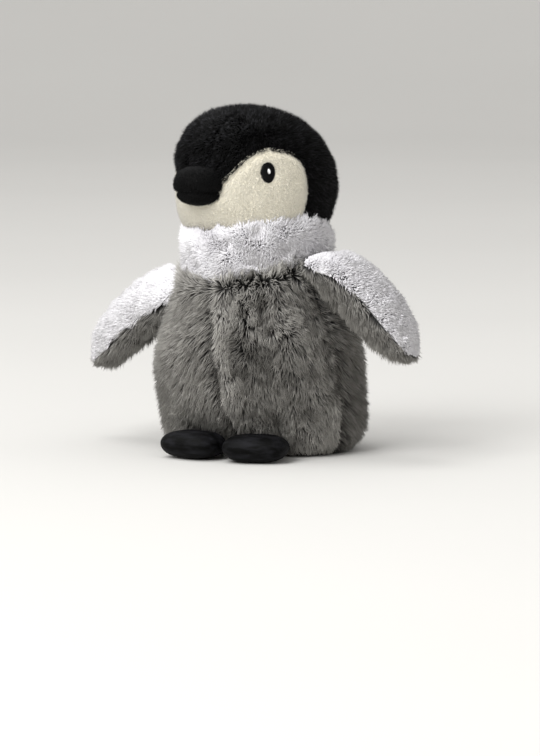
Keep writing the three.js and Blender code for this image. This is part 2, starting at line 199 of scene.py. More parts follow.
def chance(cell, seed):  # three even chances in 0..1 for each whole-number cell
    turns = np.array([[127.1, 311.7, 74.7], [269.5, 183.3, 246.1], [113.5, 271.9, 124.6]])
    return np.modf(np.abs(np.sin(cell @ turns.T + seed * 17.23)) * 43758.5453)[0]


def lockOf(p, size, seed):
    # the centre of the lock of hair that a point belongs to, and the lock's own chance:
    # one centre at random in each cube of that size, and the nearest one wins
    cell = np.floor(p / size)
    best, centre, luck = np.full(len(p), np.inf), np.zeros_like(p), np.zeros(len(p))
    for step in np.stack(np.meshgrid(*[[-1, 0, 1]] * 3), -1).reshape(-1, 3):
        c = cell + step
        h = chance(c, seed)
        there = (c + h) * size
        d = ((p - there) ** 2).sum(-1)
        closer = d < best
        best[closer], centre[closer], luck[closer] = d[closer], there[closer], h[closer, 0]
    return centre, luck


def drift(p, size, seed):  # a slowly wandering vector: sums of waves about that long, each part in -1..1
    rng = np.random.default_rng(seed)
    way = unit(rng.normal(size=(3, 5, 3))) * (2 * math.pi / (size * rng.uniform(0.7, 1.5, (3, 5, 1))))
    start = rng.uniform(0, 2 * math.pi, (3, 5))
    return np.stack([np.cos(p @ way[k].T + start[k]).mean(-1) * 1.6 for k in range(3)], -1)


# jitter is a share of the spacing, rootSink and the floor values are mm, the rest are shares
tuft = {"samples": 80, "margin": 1.02, "jitter": 0.35, "rootSink": 0.3, "rootReach": 0.5,
        "middleReach": 0.42, "floor": 0.4, "floorSpread": 0.3,
        "mapRoot": 0.1, "mapMiddle": 0.54, "mapTip": 0.98, "mapStrip": 0.003}


def growPile(surface, inside, pile, seed, comb, trim=None, keep=None):
    # Tufts of pile: an even scatter of roots on the surface, each a thin three-sided spike that
    # leaves along the normal, leans the way the pile is combed, and closes on its lock's middle.
    rng = np.random.default_rng(seed)
    tries = (np.arange(tuft["samples"]) + 0.5) / tuft["samples"]
    su, sv = (a.ravel() for a in np.meshgrid(tries, tries))
    peak = slopes(surface, su, sv, inside)[2].max() * tuft["margin"]
    count = int(pile["perMm2"] * peak)
    plastic = 1.32471795724  # x^3 = x + 1: steps of its powers spread points evenly over a square
    lattice = seed * 0.137 + np.arange(1, count + 1)[:, None] / plastic ** np.arange(1, 3)
    jitter = rng.uniform(-tuft["jitter"], tuft["jitter"], (count, 2)) / math.sqrt(count)
    u, v = ((lattice + jitter) % 1).T
    p, normal, area, _ = slopes(surface, u, v, inside)
    kept = rng.random(count) * peak < area
    if keep is not None:
        kept &= keep(p)
    u, v, p, normal = u[kept], v[kept], p[kept], normal[kept]
    luck = rng.random((len(p), 6))
    lean = comb(p, normal, u, v)
    lean = lean - normal * (lean * normal).sum(-1, keepdims=True)
    length = pile["length"] * (1 + pile["vary"] * (2 * luck[:, 0] - 1))
    if trim is not None:
        length = length * trim(p, u, v)
    length = length[:, None]
    wander = drift(p, pile["swirlSize"], seed + 1) * pile["swirl"]
    curl = (luck[:, 1:4] - 0.5) * 2 * pile["curl"]
    way = unit(normal + lean + wander + curl * 0.5)
    bow = lean * pile["droop"] + curl * 0.5
    middle = p + length * (0.5 * way + 0.2 * bow)
    tip = p + length * (way + bow)
    shade = 0.0
    for size, pull, tint in pile["locks"]:
        centre, own = lockOf(p, size, seed + int(size * 7))
        inward = centre - p
        inward = inward - normal * (inward * normal).sum(-1, keepdims=True)
        grown = np.minimum(1, length / pile["length"])
        middle = middle + inward * pull * 0.35 * grown
        tip = tip + inward * pull * grown
        shade = shade + tint * (2 * own - 1)
    shade = shade + pile["patch"] * drift(p, pile["patchSize"], seed + 2)[:, 0]
    if "tone" in pile:
        shade = shade + pile["tone"](p, u, v)
    tone = np.clip(0.5 + shade + pile.get("speckle", 0.12) * (2 * luck[:, 4] - 1), 0.01, 0.99)
    root = p - normal * tuft["rootSink"]
    wide = pile["width"] * (0.8 + 0.4 * luck[:, 5])[:, None]
    along = unit(tip - root)
    sideways = unit(np.cross(along, stack(0.31, 0.52, 0.79) + 0 * along))
    other = np.cross(along, sideways)
    spin = luck[:, 1:2] * 2 * math.pi + np.arange(3) * 2 * math.pi / 3
    ring = sideways[:, None] * np.cos(spin)[..., None] + other[:, None] * np.sin(spin)[..., None]
    n = len(p)
    first = np.arange(n)[:, None, None]
    rows = [root[:, None] + ring * wide[:, None] * tuft["rootReach"], tip[:, None]]
    faces = [[0, 2, 1]]
    if pile["bends"]:
        rows.insert(1, middle[:, None] + ring * wide[:, None] * tuft["middleReach"])
        for k in range(3):
            j = (k + 1) % 3
            faces += [[k, j, 3 + j], [k, 3 + j, 3 + k], [3 + k, 3 + j, 6]]
    else:
        faces += [[k, (k + 1) % 3, 3] for k in range(3)]
    corners = np.concatenate(rows, 1)
    each = corners.shape[1]
    faces = np.array(faces)
    if pile["floor"]:
        corners[..., 2] = np.maximum(corners[..., 2], tuft["floor"] + tuft["floorSpread"] * luck[:, 0:1])
    # tone runs across the map and root to tip runs up it; each face keeps a little width
    height = [tuft["mapRoot"]] * 3 + [tuft["mapMiddle"]] * (3 if pile["bends"] else 0) + [tuft["mapTip"]]
    strip = tuft["mapStrip"]
    fu = np.tile([0, strip, strip / 2], (len(faces), 1))
    fv = np.array(height)[faces]
    fv[0, 2] += 0.01
    if pile["bends"]:
        fu[1:] = np.tile([[0, strip, strip], [0, strip, 0], [0, strip, strip / 2]], (3, 1))
    places = np.stack(np.broadcast_arrays(tone[:, None, None] * (1 - strip) + fu, fv), -1)
    return corners.reshape(-1, 3), (first * each + faces).reshape(-1, 3), places.reshape(-1, 3, 2)


def fabric(name, node, body, material, surface, inside, cells, thickness, pile=None, seed=1,
           comb=None, trim=None, keepCloth=None, keepPile=None):
    parts = [clothShell(surface, inside, cells, thickness, keepCloth)]
    if pile:
        parts.append(growPile(surface, inside, pile, seed, comb, trim, keepPile))
    start, triangles = 0, []
    for corners, faces, _ in parts:
        triangles.append(faces + start)
        start += len(corners)
    made = makeMesh(name, np.concatenate([c for c, _, _ in parts]), np.concatenate(triangles),
                    np.concatenate([places for _, _, places in parts]), material)
    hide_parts(*([node] if isinstance(node, str) else node))
    if isinstance(body, str):
        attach(made, body)
    else:
        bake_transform(made)
    print(name, len(made.data.polygons), "triangles")


def colour(hexCode):  # sRGB hex to linear
    parts = [int(hexCode[k:k + 2], 16) / 255 for k in (1, 3, 5)]
    return [c / 12.92 if c <= 0.04045 else ((c + 0.055) / 1.055) ** 2.4 for c in parts] + [1]


def add(tree, kind, settings=None, inputs=None):
    made = tree.nodes.new(kind)
    for key, value in (settings or {}).items():
        if key == "stops":
            ramp = made.color_ramp
            while len(ramp.elements) < len(value):
                ramp.elements.new(0.5)
            for element, (place, code) in zip(ramp.elements, value):
                element.position, element.color = place, colour(code)
        else:
            setattr(made, key, value)
    for key, value in (inputs or {}).items():
        if isinstance(value, bpy.types.NodeSocket):
            tree.links.new(value, made.inputs[key])
        else:
            made.inputs[key].default_value = value
    return made


def newMaterial(name):
    made = bpy.data.materials.new(name)
    made.use_nodes = True
    made.node_tree.nodes.clear()
    return made, made.node_tree


def finishMaterial(tree, inputs):
    shader = add(tree, "ShaderNodeBsdfPrincipled", None, inputs)
    add(tree, "ShaderNodeOutputMaterial", None, {"Surface": shader.outputs[0]})


def pileMaterial(name, stops, tints, inputs):
    # Cut pile of fine fibres: each tuft's colour goes from its shaded root to its tip, and is
    # multiplied by a tint chosen by its tone, which is the first part of its place on the map.
    made, tree = newMaterial(name)
    place = add(tree, "ShaderNodeUVMap", {"uv_map": "OFBake"})
    parts = add(tree, "ShaderNodeSeparateXYZ", None, {0: place.outputs[0]})
    ramp = add(tree, "ShaderNodeValToRGB", {"stops": stops}, {0: parts.outputs[1]})
    tint = add(tree, "ShaderNodeValToRGB", {"stops": tints}, {0: parts.outputs[0]})
    both = add(tree, "ShaderNodeMix", {"data_type": "RGBA", "blend_type": "MULTIPLY"},
               {0: 1.0, 6: ramp.outputs[0], 7: tint.outputs[0]})
    finishMaterial(tree, {"Base Color": both.outputs[2], **inputs})
    return made


# Polyester plush, 10 mm pile, knitted and sheared: soft neutral grey, with painted shade darkening each tuft
# towards its root, between the locks.
greyPlush = pileMaterial("greyPolyesterPlush",
                         [(0, "#2a2825"), (0.1, "#34322f"), (0.5, "#908e8a"), (1, "#d6d3cd")],
                         [(0, "#868583"), (1, "#ffffff")],
                         {"Roughness": 0.8, "Specular IOR Level": 0.2, "Sheen Weight": 0.08})
# The same plush bleached, 5 to 6 mm pile with a slight curl: white nearly to the root.
whitePlush = pileMaterial("whitePolyesterPlush",
                          [(0, "#e6e5e6"), (0.1, "#ebeaeb"), (0.5, "#f0eff1"), (1, "#f3f2f4")],
                          [(0, "#e9e8ea"), (1, "#ffffff")],
                          {"Roughness": 0.85, "Specular IOR Level": 0.2, "Sheen Weight": 0.15})
# Dyed short plush, under 5 mm of pile: near black; a few tufts have paler tips, a painted glint where the
# fibres catch the light.
blackPlush = pileMaterial("blackPolyesterPlush", [(0, "#020203"), (0.5, "#08080a"), (1, "#505054")],
                          [(0, "#1c1c1c"), (0.76, "#2c2c2c"), (0.9, "#ffffff")],
                          {"Roughness": 0.55, "Specular IOR Level": 0.14})
# Cotton velour with a nap of about 1 mm: even cream.
creamVelour = pileMaterial("creamCottonVelour", [(0, "#eee9d9"), (0.1, "#f0ebdc"), (1, "#f9f6ec")],
                           [(0, "#f6f5f2"), (1, "#ffffff")],
                           {"Roughness": 0.85, "Specular IOR Level": 0.2, "Sheen Weight": 0.2})
# Polyester velour with a 1.5 mm nap: black and matt.
blackVelour = pileMaterial("blackPolyesterVelour", [(0, "#020203"), (0.5, "#050506"), (1, "#0e0e10")],
                           [(0, "#707070"), (1, "#ffffff")],
                           {"Roughness": 0.6, "Specular IOR Level": 0.22})


torso = {
    "halfWidths": [[0, 58], [4, 62], [12, 65.5], [26, 67.5], [46, 68], [66, 67.5], [82, 64],
                   [96, 58.5], [110, 53], [122, 50.5], [138, 50], [152, 51]],
    "bellyShare": 0.93, "shoulderZ": 120, "shoulderLift": 6, "rimZ": 151, "sideSeam": 78 * rad,
    "hollow": 0.31, "hollowTop": 48, "twist": -10 * rad, "lean": 0.1, "roundFrom": 80, "roundOver": 45,
    "seamGap": 0.3,
}
head = {
    "radius": 54, "centre": np.array([0.0, -14.0, 183.0]), "yaw": -22 * rad, "crown": 51,
    "forward": 11, "forwardPower": 1.4, "square": 2.25, "neckCut": -44, "gusset": 11,
}


def torsoPoint(phi, z, inset=0.0):
    # half-width by height times sine and cosine of the angle from the front, a little flatter from
    # front to back low down, drawn in over the feet, then turned and leaned with height
    half = through(torso["halfWidths"], z)
    share = mix(torso["bellyShare"], 1, smooth((z - torso["roundFrom"]) / torso["roundOver"]))
    hollow = torso["hollow"] * smooth(1 - z / torso["hollowTop"]) * np.maximum(0, np.cos(phi)) ** 3
    x = (half * (1 - hollow) - inset) * np.sin(phi)
    y = -(half * share * (1 - hollow) - inset) * np.cos(phi)
    rise = smooth(z / torso["shoulderZ"])
    p = turnedZ(stack(x, y, z), torso["twist"] * rise)
    return stack(p[..., 0], p[..., 1] + head["centre"][1] * rise,
                 p[..., 2] + torso["lean"] * p[..., 0] * rise)


def torsoAxis(p):  # the nearest point of the torso's middle line
    rise = smooth(p[..., 2] / torso["shoulderZ"])
    return stack(0 * rise, head["centre"][1] * rise, p[..., 2] - 2)


def shoulderSeam(phi):
    return torso["shoulderZ"] + torso["shoulderLift"] * np.sin(phi) ** 2


def combDown(amount):
    return lambda p, normal, u, v: stack(0, 0, -amount) + 0 * p


bodyPile = {"length": 9.8, "vary": 0.2, "width": 0.85, "perMm2": 1.6, "droop": 0.35, "curl": 0.18,
            "swirl": 0.24, "swirlSize": 26, "locks": [(4.2, 0.55, 0.16), (10.0, 0.25, 0.12)],
            "patch": 0.14, "patchSize": 45, "bends": True, "floor": True}
bodyCloth = {"inset": 3.8, "thickness": 0.7, "low": 3.8, "seamDip": 3.6, "seamWidth": 3.4,
             "ridgeAway": 7.5, "ridgeWidth": 5.0, "creaseWide": 3.2, "meanReach": 62}
# how the pile is cut and combed at a panel's edges; widths in mm, "up" values as shares of v
bodyEdge = {"caught": 0.6, "caughtWide": 4.2, "floorLength": 0.35, "floorTop": 22, "part": 0.85,
            "partWide": 7, "down": 0.62, "up": 0.45, "upFrom": 0.92, "upOver": 0.07}
# the toy's left belly panel is brushed up in curls. Its tufts get painted shade in the seam, a painted
# highlight on the ridge beside it, a little darker tone beyond, and painted light low down and towards the
# side seam
curlyPile = {**bodyPile, "curl": 0.26, "swirl": 0.5, "swirlSize": 20,
             "locks": [(5.0, 0.68, 0.32), (11.0, 0.3, 0.2)], "patch": 0.2}
bellyTone = {"crease": 0.45, "ridge": 0.5, "ridgeWide": 4.5, "beyond": 0.12, "beyondFrom": 14,
             "beyondOver": 8, "low": 0.3, "lowTop": 0.5, "far": 0.2, "farFrom": 42, "farOver": 18}
calmTone = {"all": 0.06, "crease": 0.45, "low": 0.1, "lowTop": 0.4}


def leftBellyTone(p, u, v):
    away = u * torso["sideSeam"] * bodyCloth["meanReach"]
    # painted shade in the seam's crease, and a painted highlight on the ridge beside it
    seam = bellyTone["crease"] * bump(away, bodyCloth["creaseWide"])
    ridge = bellyTone["ridge"] * bump(away - bodyCloth["ridgeAway"], bellyTone["ridgeWide"])
    beyond = bellyTone["beyond"] * smooth((away - bellyTone["beyondFrom"]) / bellyTone["beyondOver"])
    # painted light low down and towards the side seam
    low = bellyTone["low"] * smooth(1 - v / bellyTone["lowTop"])
    far = bellyTone["far"] * smooth((away - bellyTone["farFrom"]) / bellyTone["farOver"])
    return ridge - seam - beyond + low + far


# the toy's right belly panel: a little paler all over, with painted shade in the seam and painted light low
# down
def rightBellyTone(p, u, v):
    away = (1 - u) * torso["sideSeam"] * bodyCloth["meanReach"]
    seam = calmTone["crease"] * bump(away, bodyCloth["creaseWide"])
    return calmTone["all"] - seam + calmTone["low"] * smooth(1 - v / calmTone["lowTop"])


# painted shade: the back panels' tufts are darkened all over, as they lie away from the light
def backPaintedShade(p, u, v):
    return -0.22


def bodyPanel(start, end, ridge):
    # u runs round the torso between two seams, v up to the collar; the cloth sinks along both seams,
    # and may rise in a soft ridge beside the seam it starts from
    def surface(u, v):
        phi = mix(start, end, u)
        z = mix(bodyCloth["low"], shoulderSeam(phi) - torso["seamGap"], v)
        wide = abs(end - start) * bodyCloth["meanReach"]
        dip = bodyCloth["seamDip"] * bump(np.minimum(u, 1 - u) * wide, bodyCloth["seamWidth"])
        rise = ridge * bump(u * wide - bodyCloth["ridgeAway"], bodyCloth["ridgeWidth"])
        return torsoPoint(phi, z, bodyCloth["inset"] + dip - rise)
    return surface


def bodyTrim(start, end):  # the pile is caught short in the seams, and thins out at the floor
    def trim(p, u, v):
        away = np.minimum(u, 1 - u) * abs(end - start) * bodyCloth["meanReach"]
        caught = 1 - bodyEdge["caught"] * bump(away, bodyEdge["caughtWide"])
        return caught * mix(bodyEdge["floorLength"], 1, smooth(p[:, 2] / bodyEdge["floorTop"]))
    return trim


def bodyComb(start, end):
    # down, parted a little to both sides of every seam; the top rows stand up over the collar's seam
    def comb(p, normal, u, v):
        phi = mix(start, end, u)
        twist = torso["twist"] * smooth(p[:, 2] / torso["shoulderZ"])
        round_ = turnedZ(stack(np.cos(phi), np.sin(phi), 0), twist) * np.sign(end - start)
        wide = abs(end - start) * bodyCloth["meanReach"]
        near, far = (bodyEdge["part"] * bump(share * wide, bodyEdge["partWide"]) for share in (u, 1 - u))
        rise = mix(-bodyEdge["down"], bodyEdge["up"], smooth((v - bodyEdge["upFrom"]) / bodyEdge["upOver"]))
        return stack(0, 0, rise) + round_ * (near - far)[:, None]
    return comb


seams = {"front": 0.0, "side": torso["sideSeam"], "back": math.pi}
panels = {
    "belly_fur_left": ("belly_panel_left", seams["front"], seams["side"], 1.6, (60, 70), 11, 2.6),
    "belly_fur_right": ("belly_panel_right", -seams["side"], -seams["front"], 1.6, (60, 70), 12, 0.0),
    "back_fur_left": ("back_panel_left", seams["side"], seams["back"], 1.05, (70, 64), 13, 0.0),
    "back_fur_right": ("back_panel_right", -seams["back"], -seams["side"], 1.05, (70, 64), 14, 0.0),
}
backPile = {**bodyPile, "tone": backPaintedShade}
piles = {"belly_fur_left": {**curlyPile, "tone": leftBellyTone},
         "belly_fur_right": {**bodyPile, "tone": rightBellyTone},
         "back_fur_left": backPile, "back_fur_right": backPile}
for name, (node, start, end, density, cells, seed, ridge) in panels.items():
    fabric(name, node, "torso", greyPlush, bodyPanel(start, end, ridge), torsoAxis, cells,
           bodyCloth["thickness"], {**piles[name], "perMm2": density}, seed, bodyComb(start, end),
           bodyTrim(start, end))

collar = {"inset": 1.8, "thickness": 0.7, "roll": 3.2, "rollTurn": 125 * rad, "rollShare": 0.2,
          "rimChanges": [(-2.0, -28 * rad, 25 * rad), (4.5, 62 * rad, 35 * rad), (4.0, -62 * rad, 16 * rad),
                         (-9.0, 122 * rad, 28 * rad)],
          "tucked": 3.0, "tuckedAt": -68 * rad, "tuckedWide": 50 * rad, "lump": 0.7, "lumpSize": 15,
          "seamDip": 1.4, "seamWide": 2.5, "meanReach": 50}
collarPile = {"length": 5.4, "vary": 0.2, "width": 1.28, "perMm2": 3.15, "droop": 0.45, "curl": 0.32,
              "swirl": 0.8, "swirlSize": 13, "locks": [(3.4, 0.16, 0.14), (8.0, 0.1, 0.10)],
              "patch": 0.12, "patchSize": 22, "bends": True, "floor": False}


def collarPanel(start, end):
    # v runs up from the shoulder seam to the rim, then round a rolled edge that turns in to the neck;
    # the rim stands up in places and slumps in others, one side is tucked in, and the cloth is softly lumpy
    def surface(u, v):
        phi = mix(start, end, u)
        up = np.clip(v / (1 - collar["rollShare"]), 0, 1)
        turn = np.clip((v - (1 - collar["rollShare"])) / collar["rollShare"], 0, 1) * collar["rollTurn"]
        low = shoulderSeam(phi) + torso["seamGap"]
        over = collar["roll"]
        rim = torso["rimZ"] + sum(lift * bump(phi - at, wide) for lift, at, wide in collar["rimChanges"])
        z = mix(low, rim, up) + over * np.sin(turn)
        dip = collar["seamDip"] * bump((z - low), collar["seamWide"])
        tuck = collar["tucked"] * (bump(phi - collar["tuckedAt"], collar["tuckedWide"])
                                   + bump(phi - collar["tuckedAt"] - 2 * math.pi, collar["tuckedWide"]))
        round_ = stack(np.sin(phi) * collar["meanReach"], np.cos(phi) * collar["meanReach"], z)
        lump = collar["lump"] * drift(round_, collar["lumpSize"], 27)[..., 0]
        return torsoPoint(phi, z, collar["inset"] + dip + tuck - lump + over * (1 - np.cos(turn)))
    return surface


def collarComb(p, normal, u, v):  # straight out at the seam, a little down above it, up at the rolled rim
    up = smooth((v - 0.4) / 0.35)
    return stack(0, 0, -0.3 * smooth(v / 0.2) * (1 - up) + 0.5 * up)


def collarTrim(p, u, v):  # caught short in the shoulder seam
    return mix(0.5, 1, smooth(v / 0.18))


side = torso["sideSeam"]
collars = {
    "collar_fur_front": ("collar_front", -side, side, (70, 26), collarPile, 21),
    "collar_fur_back": ("collar_back", side, 2 * math.pi - side, (90, 26), {**collarPile, "perMm2": 1.8}, 22),
}
for name, (node, start, end, cells, pile, seed) in collars.items():
    fabric(name, node, "torso", whitePlush, collarPanel(start, end), torsoAxis, cells,
           collar["thickness"], pile, seed, collarComb, collarTrim)

baseSize = {"low": 0.15, "high": 3.0, "rim": 1.4, "inset": 2.5, "z": 1.5, "flatShare": 0.4, "rimShare": 0.2}


def baseDisc(u, v):  # u round, v from the middle of the underside, round the rim, to the middle of the top
    phi = mix(-math.pi, math.pi, u)
    flat = baseSize["flatShare"]
    turn = np.clip((v - flat) / baseSize["rimShare"], 0, 1) * math.pi
    reach = np.where(v < flat, v / flat, np.where(v > 1 - flat, (1 - v) / flat, 1.0))
    z = mix(baseSize["low"], baseSize["high"], (1 - np.cos(turn)) / 2)
    edge = torsoPoint(phi, 0 * phi + baseSize["z"], baseSize["inset"] - baseSize["rim"] * np.sin(turn))
    return stack(edge[..., 0] * reach, edge[..., 1] * reach, z)


print("torso done")


def headToRow(p):  # the head's own frame faces -Y; the row frame turns and places it
    return turnedZ(p, head["yaw"]) + head["centre"]


def rowToHead(p):
    return turnedZ(p - head["centre"], -head["yaw"])


cheek = {"lift": 2.8, "azimuth": 44 * rad, "height": -28 * rad, "wide": 46 * rad, "tall": 17 * rad}
nape = {"lift": 0.6, "height": -28 * rad, "from": 2, "over": 0.9, "tall": 0.35}
eyePlace = {"azimuth": 55 * rad, "height": 10.0, "halfWidth": 5.0, "halfHeight": 7.0,
            "dip": 1.3, "dipWide": 1.25, "dipTall": 1.3, "dipReach": 6.5}


def headPoint(azimuth, rise, inset=0.0):
    # a ball below its middle; above it, a lower and squarer crown that is pushed forwards.
    # azimuth from the front, rise above the middle; cheeks and nape are a little fuller than the ball
    round_ = np.abs(azimuth)
    cheeks = cheek["lift"] * bump(round_ - cheek["azimuth"], cheek["wide"])
    cheeks = cheeks * bump(rise - cheek["height"], cheek["tall"])
    behind = nape["lift"] * smooth((round_ - nape["from"]) / nape["over"])
    behind = behind * bump(rise - nape["height"], nape["tall"])
    r = head["radius"] - inset + (cheeks + behind)
    sx, sy, sz = np.sin(azimuth) * np.cos(rise), -np.cos(azimuth) * np.cos(rise), np.sin(rise)
    above = np.clip(sz, 0, 1)
    q = np.where(sz > 0, roundedReach(np.arcsin(above), head["square"]), 1.0)
    x, y = r * sx * q, r * sy * q - head["forward"] * above ** head["forwardPower"]
    z = np.where(sz > 0, (head["crown"] - inset) * above * q, r * sz)
    return stack(x, y, z)


# the face's side outline in mm ahead of the head's middle and above it: the brow from the beak's side
# over the eye to the ear, and how far ahead and below the straight sides run
farBrow = {"lower": 9.0, "forward": 39, "wide": 9.0, "side": 10, "fade": 8}
brow = [[49, 4.5], [41.5, 17.5], [34, 22.8], [27, 24.6], [12, 20.8], [4.5, 10.2], [3, -6], [5, -24]]
faceEdge = {"chin": -6, "beakSide": 51.5, "ahead": 80, "below": -70, "steps": 8}


def browOutline():  # [forwards, up]: a curve through the brow's points, then two straight sides
    ear, ahead, below = brow[-1], faceEdge["ahead"], faceEdge["below"]
    p = np.array([[faceEdge["beakSide"], faceEdge["chin"]]] + brow, float)
    p = np.concatenate([p[:1], p, p[-1:]])
    t = np.linspace(0, 1, faceEdge["steps"] + 1)[:-1, None]
    runs = [0.5 * ((2 * b) + (c - a) * t + (2 * a - 5 * b + 4 * c - d) * t**2
                   + (3 * b - a - 3 * c + d) * t**3)
            for a, b, c, d in zip(p, p[1:], p[2:], p[3:])]
    return np.concatenate([[[ahead, below], [ahead, faceEdge["chin"]]], *runs, [ear, [ear[0], below]]])


outline = browOutline()


def faceDepth(p):  # how far inside the face's outline a row-frame point is, negative outside, in mm
    q = rowToHead(p)
    f, up = -q[:, 1], q[:, 2]
    # the brow is sewn lower over the beak on the toy's right
    far = farBrow["lower"] * bump(f - farBrow["forward"], farBrow["wide"])
    far = far * smooth(-q[:, 0] / farBrow["side"])
    up = up + far * smooth(up / farBrow["fade"])
    a, b = outline, np.roll(outline, -1, axis=0)
    run = b - a
    overF, overUp = f[:, None] - a[:, 0], up[:, None] - a[:, 1]
    crosses = (a[:, 1] > up[:, None]) != (b[:, 1] > up[:, None])
    where = a[:, 0] + overUp / np.where(run[:, 1] == 0, 1, run[:, 1]) * run[:, 0]
    within = (crosses & (f[:, None] < where)).sum(1) % 2 == 1
    t = np.clip((overF * run[:, 0] + overUp * run[:, 1]) / (run ** 2).sum(1), 0, 1)
    away = np.hypot(overF - t * run[:, 0], overUp - t * run[:, 1]).min(1)
    return np.where(within, away, -away)


def eyeDip(azimuth, rise):  # the stitches of each eye pull the face in a little round them
    up = head["radius"] * np.sin(rise) - eyePlace["height"]
    across = (np.abs(azimuth) - eyePlace["azimuth"]) * head["radius"]
    near = np.hypot(across / eyePlace["dipWide"], up / eyePlace["dipTall"])
    return eyePlace["dip"] * bump(near, eyePlace["dipReach"])


headMiddle = lambda p: head["centre"] + 0 * p
neckRise = math.asin(head["neckCut"] / head["radius"])
faceCloth = {"inset": 0.5, "thickness": 1.2, "wide": 96 * rad, "top": 33 * rad, "under": 0.8,
             "tuck": 1.7, "tuckWide": 2.8}
facePile = {"length": 1.1, "vary": 0.3, "width": 0.64, "perMm2": 4.3, "droop": 0.5, "curl": 0.4,
            "swirl": 0.15, "swirlSize": 9, "locks": [(2.4, 0.04, 0.05)], "patch": 0.04, "patchSize": 16,
            "bends": False, "floor": False}


def faceSurface(u, v):
    # a band of the head from one ear round to the other, and from the neck to over the brow, that sinks
    # in along the face's edge
    azimuth = mix(-faceCloth["wide"], faceCloth["wide"], u)
    rise = mix(neckRise, faceCloth["top"], v)
    inset = faceCloth["inset"] + eyeDip(azimuth, rise)
    flat = headToRow(headPoint(azimuth, rise, inset))
    depth = faceDepth(flat.reshape(-1, 3)).reshape(flat.shape[:-1])
    return headToRow(headPoint(azimuth, rise, inset + faceCloth["tuck"] * bump(depth, faceCloth["tuckWide"])))


fabric("face_velour", "face_panel", "head", creamVelour, faceSurface, headMiddle, (150, 68),
       faceCloth["thickness"], facePile, 31, combDown(0.8),
       keepCloth=lambda p: faceDepth(p) > -faceCloth["under"], keepPile=lambda p: faceDepth(p) > 0)

hoodCloth = {"inset": 2.4, "thickness": 0.6, "under": 3.0, "overlap": 0.9, "seamDip": 0.9, "seamWide": 1.6}
# its wide speckle lifts some tufts into the black plush's palest tone, the one with the painted glint on its
# tips
hoodPile = {"length": 4.6, "vary": 0.25, "width": 0.66, "perMm2": 3.1, "droop": 0.3, "curl": 0.3,
            "swirl": 0.4, "swirlSize": 12, "locks": [(2.6, 0.4, 0.1)], "speckle": 0.46, "patch": 0.04,
            "patchSize": 18, "bends": False, "floor": False}
hoodEdge = {"caught": 0.4, "caughtWide": 1.4, "faceLength": 0.72, "faceWide": 6, "aheadFrom": 15,
            "aheadOver": 30}
gussetLat = math.asin(head["gusset"] / head["radius"])


def sideways(lat, turn, inset):
    # round the axis from ear to ear: lat is the angle towards the ear, turn goes from the neck in
    # front, over the brow and crown, and down to the neck behind
    sx, sy, sz = np.sin(lat), -np.cos(lat) * np.cos(turn), np.cos(lat) * np.sin(turn)
    return headToRow(headPoint(np.arctan2(sx, -sy), np.arcsin(np.clip(sz, -1, 1)), inset))


def hoodSurface(lat0, lat1):  # sinks in along the two seams of the gusset
    def surface(u, v):
        lat = mix(lat0, lat1, u)
        turn = mix(-90 * rad, 270 * rad, v)
        away = np.abs(np.abs(lat) - gussetLat) * head["radius"]
        dip = hoodCloth["seamDip"] * bump(away, hoodCloth["seamWide"])
        return sideways(lat, turn, hoodCloth["inset"] + dip)
    return surface


def onHood(margin):  # above the neck cut, and outside the face's outline
    return lambda p: (p[:, 2] > head["centre"][2] + head["neckCut"]) & (faceDepth(p) < margin)


def hoodTrim(p, u, v):  # shorter along the gusset seams and at the face's edge
    q = rowToHead(p)
    away = np.abs(np.abs(q[:, 0]) - head["gusset"])
    caught = 1 - hoodEdge["caught"] * bump(away, hoodEdge["caughtWide"])
    return caught * mix(hoodEdge["faceLength"], 1, smooth(-faceDepth(p) / hoodEdge["faceWide"]))


def hoodComb(p, normal, u, v):  # back and down behind, forwards and down over the beak
    q = rowToHead(p)
    ahead = smooth((-q[:, 1] - hoodEdge["aheadFrom"]) / hoodEdge["aheadOver"])[:, None]
    level = stack(0, -0.5, 0) * ahead + stack(0, 0.2, 0) * (1 - ahead)
    return stack(0, 0, -0.45) + turnedZ(level, head["yaw"])


hoods = {
    "hood_fur_gusset": ("hood_gusset", -gussetLat, gussetLat, (12, 144), 41),
    "hood_fur_left": ("hood_left", gussetLat, math.pi / 2, (42, 144), 42),
    "hood_fur_right": ("hood_right", -math.pi / 2, -gussetLat, (42, 144), 43),
}
for name, (node, lat0, lat1, cells, seed) in hoods.items():
    fabric(name, node, "head", blackPlush, hoodSurface(lat0, lat1), headMiddle, cells,
           hoodCloth["thickness"], hoodPile, seed, hoodComb, hoodTrim,
           keepCloth=onHood(hoodCloth["under"]), keepPile=onHood(hoodCloth["overlap"]))

beak = {"middle": np.array([0.0, -48.0, 0.0]), "size": np.array([18.6, 21.9, 12.8]), "square": 2.5,
        "mouthZ": -4.5, "groove": 2.2, "grooveWidth": 2.0, "inset": 0.5, "thickness": 1.2, "seamGap": 0.01,
        "intoHead": 1.5}
beakPile = {"length": 1.5, "vary": 0.35, "width": 0.5, "perMm2": 6.0, "droop": 0.4, "curl": 0.5,
            "swirl": 0.35, "swirlSize": 7, "locks": [(2.2, 0.25, 0.2)], "patch": 0.2, "patchSize": 12,
            "bends": False, "floor": False}


def beakSurface(rise0, rise1):
    # a rounded box-like ball; it sinks into a groove along the mouth
    def surface(u, v):
        azimuth = mix(-math.pi, math.pi, u)
        rise = mix(rise0, rise1, v)
        q = roundedReach(rise, beak["square"])
        s = stack(np.sin(azimuth) * np.cos(rise), -np.cos(azimuth) * np.cos(rise), np.sin(rise))
        s = s * q[..., None]
        fromMouth = s[..., 2] * beak["size"][2] - beak["mouthZ"]
        dip = beak["inset"] + beak["groove"] * bump(fromMouth, beak["grooveWidth"])
        return headToRow(s * (beak["size"] - dip[..., None]) + beak["middle"])
    return surface


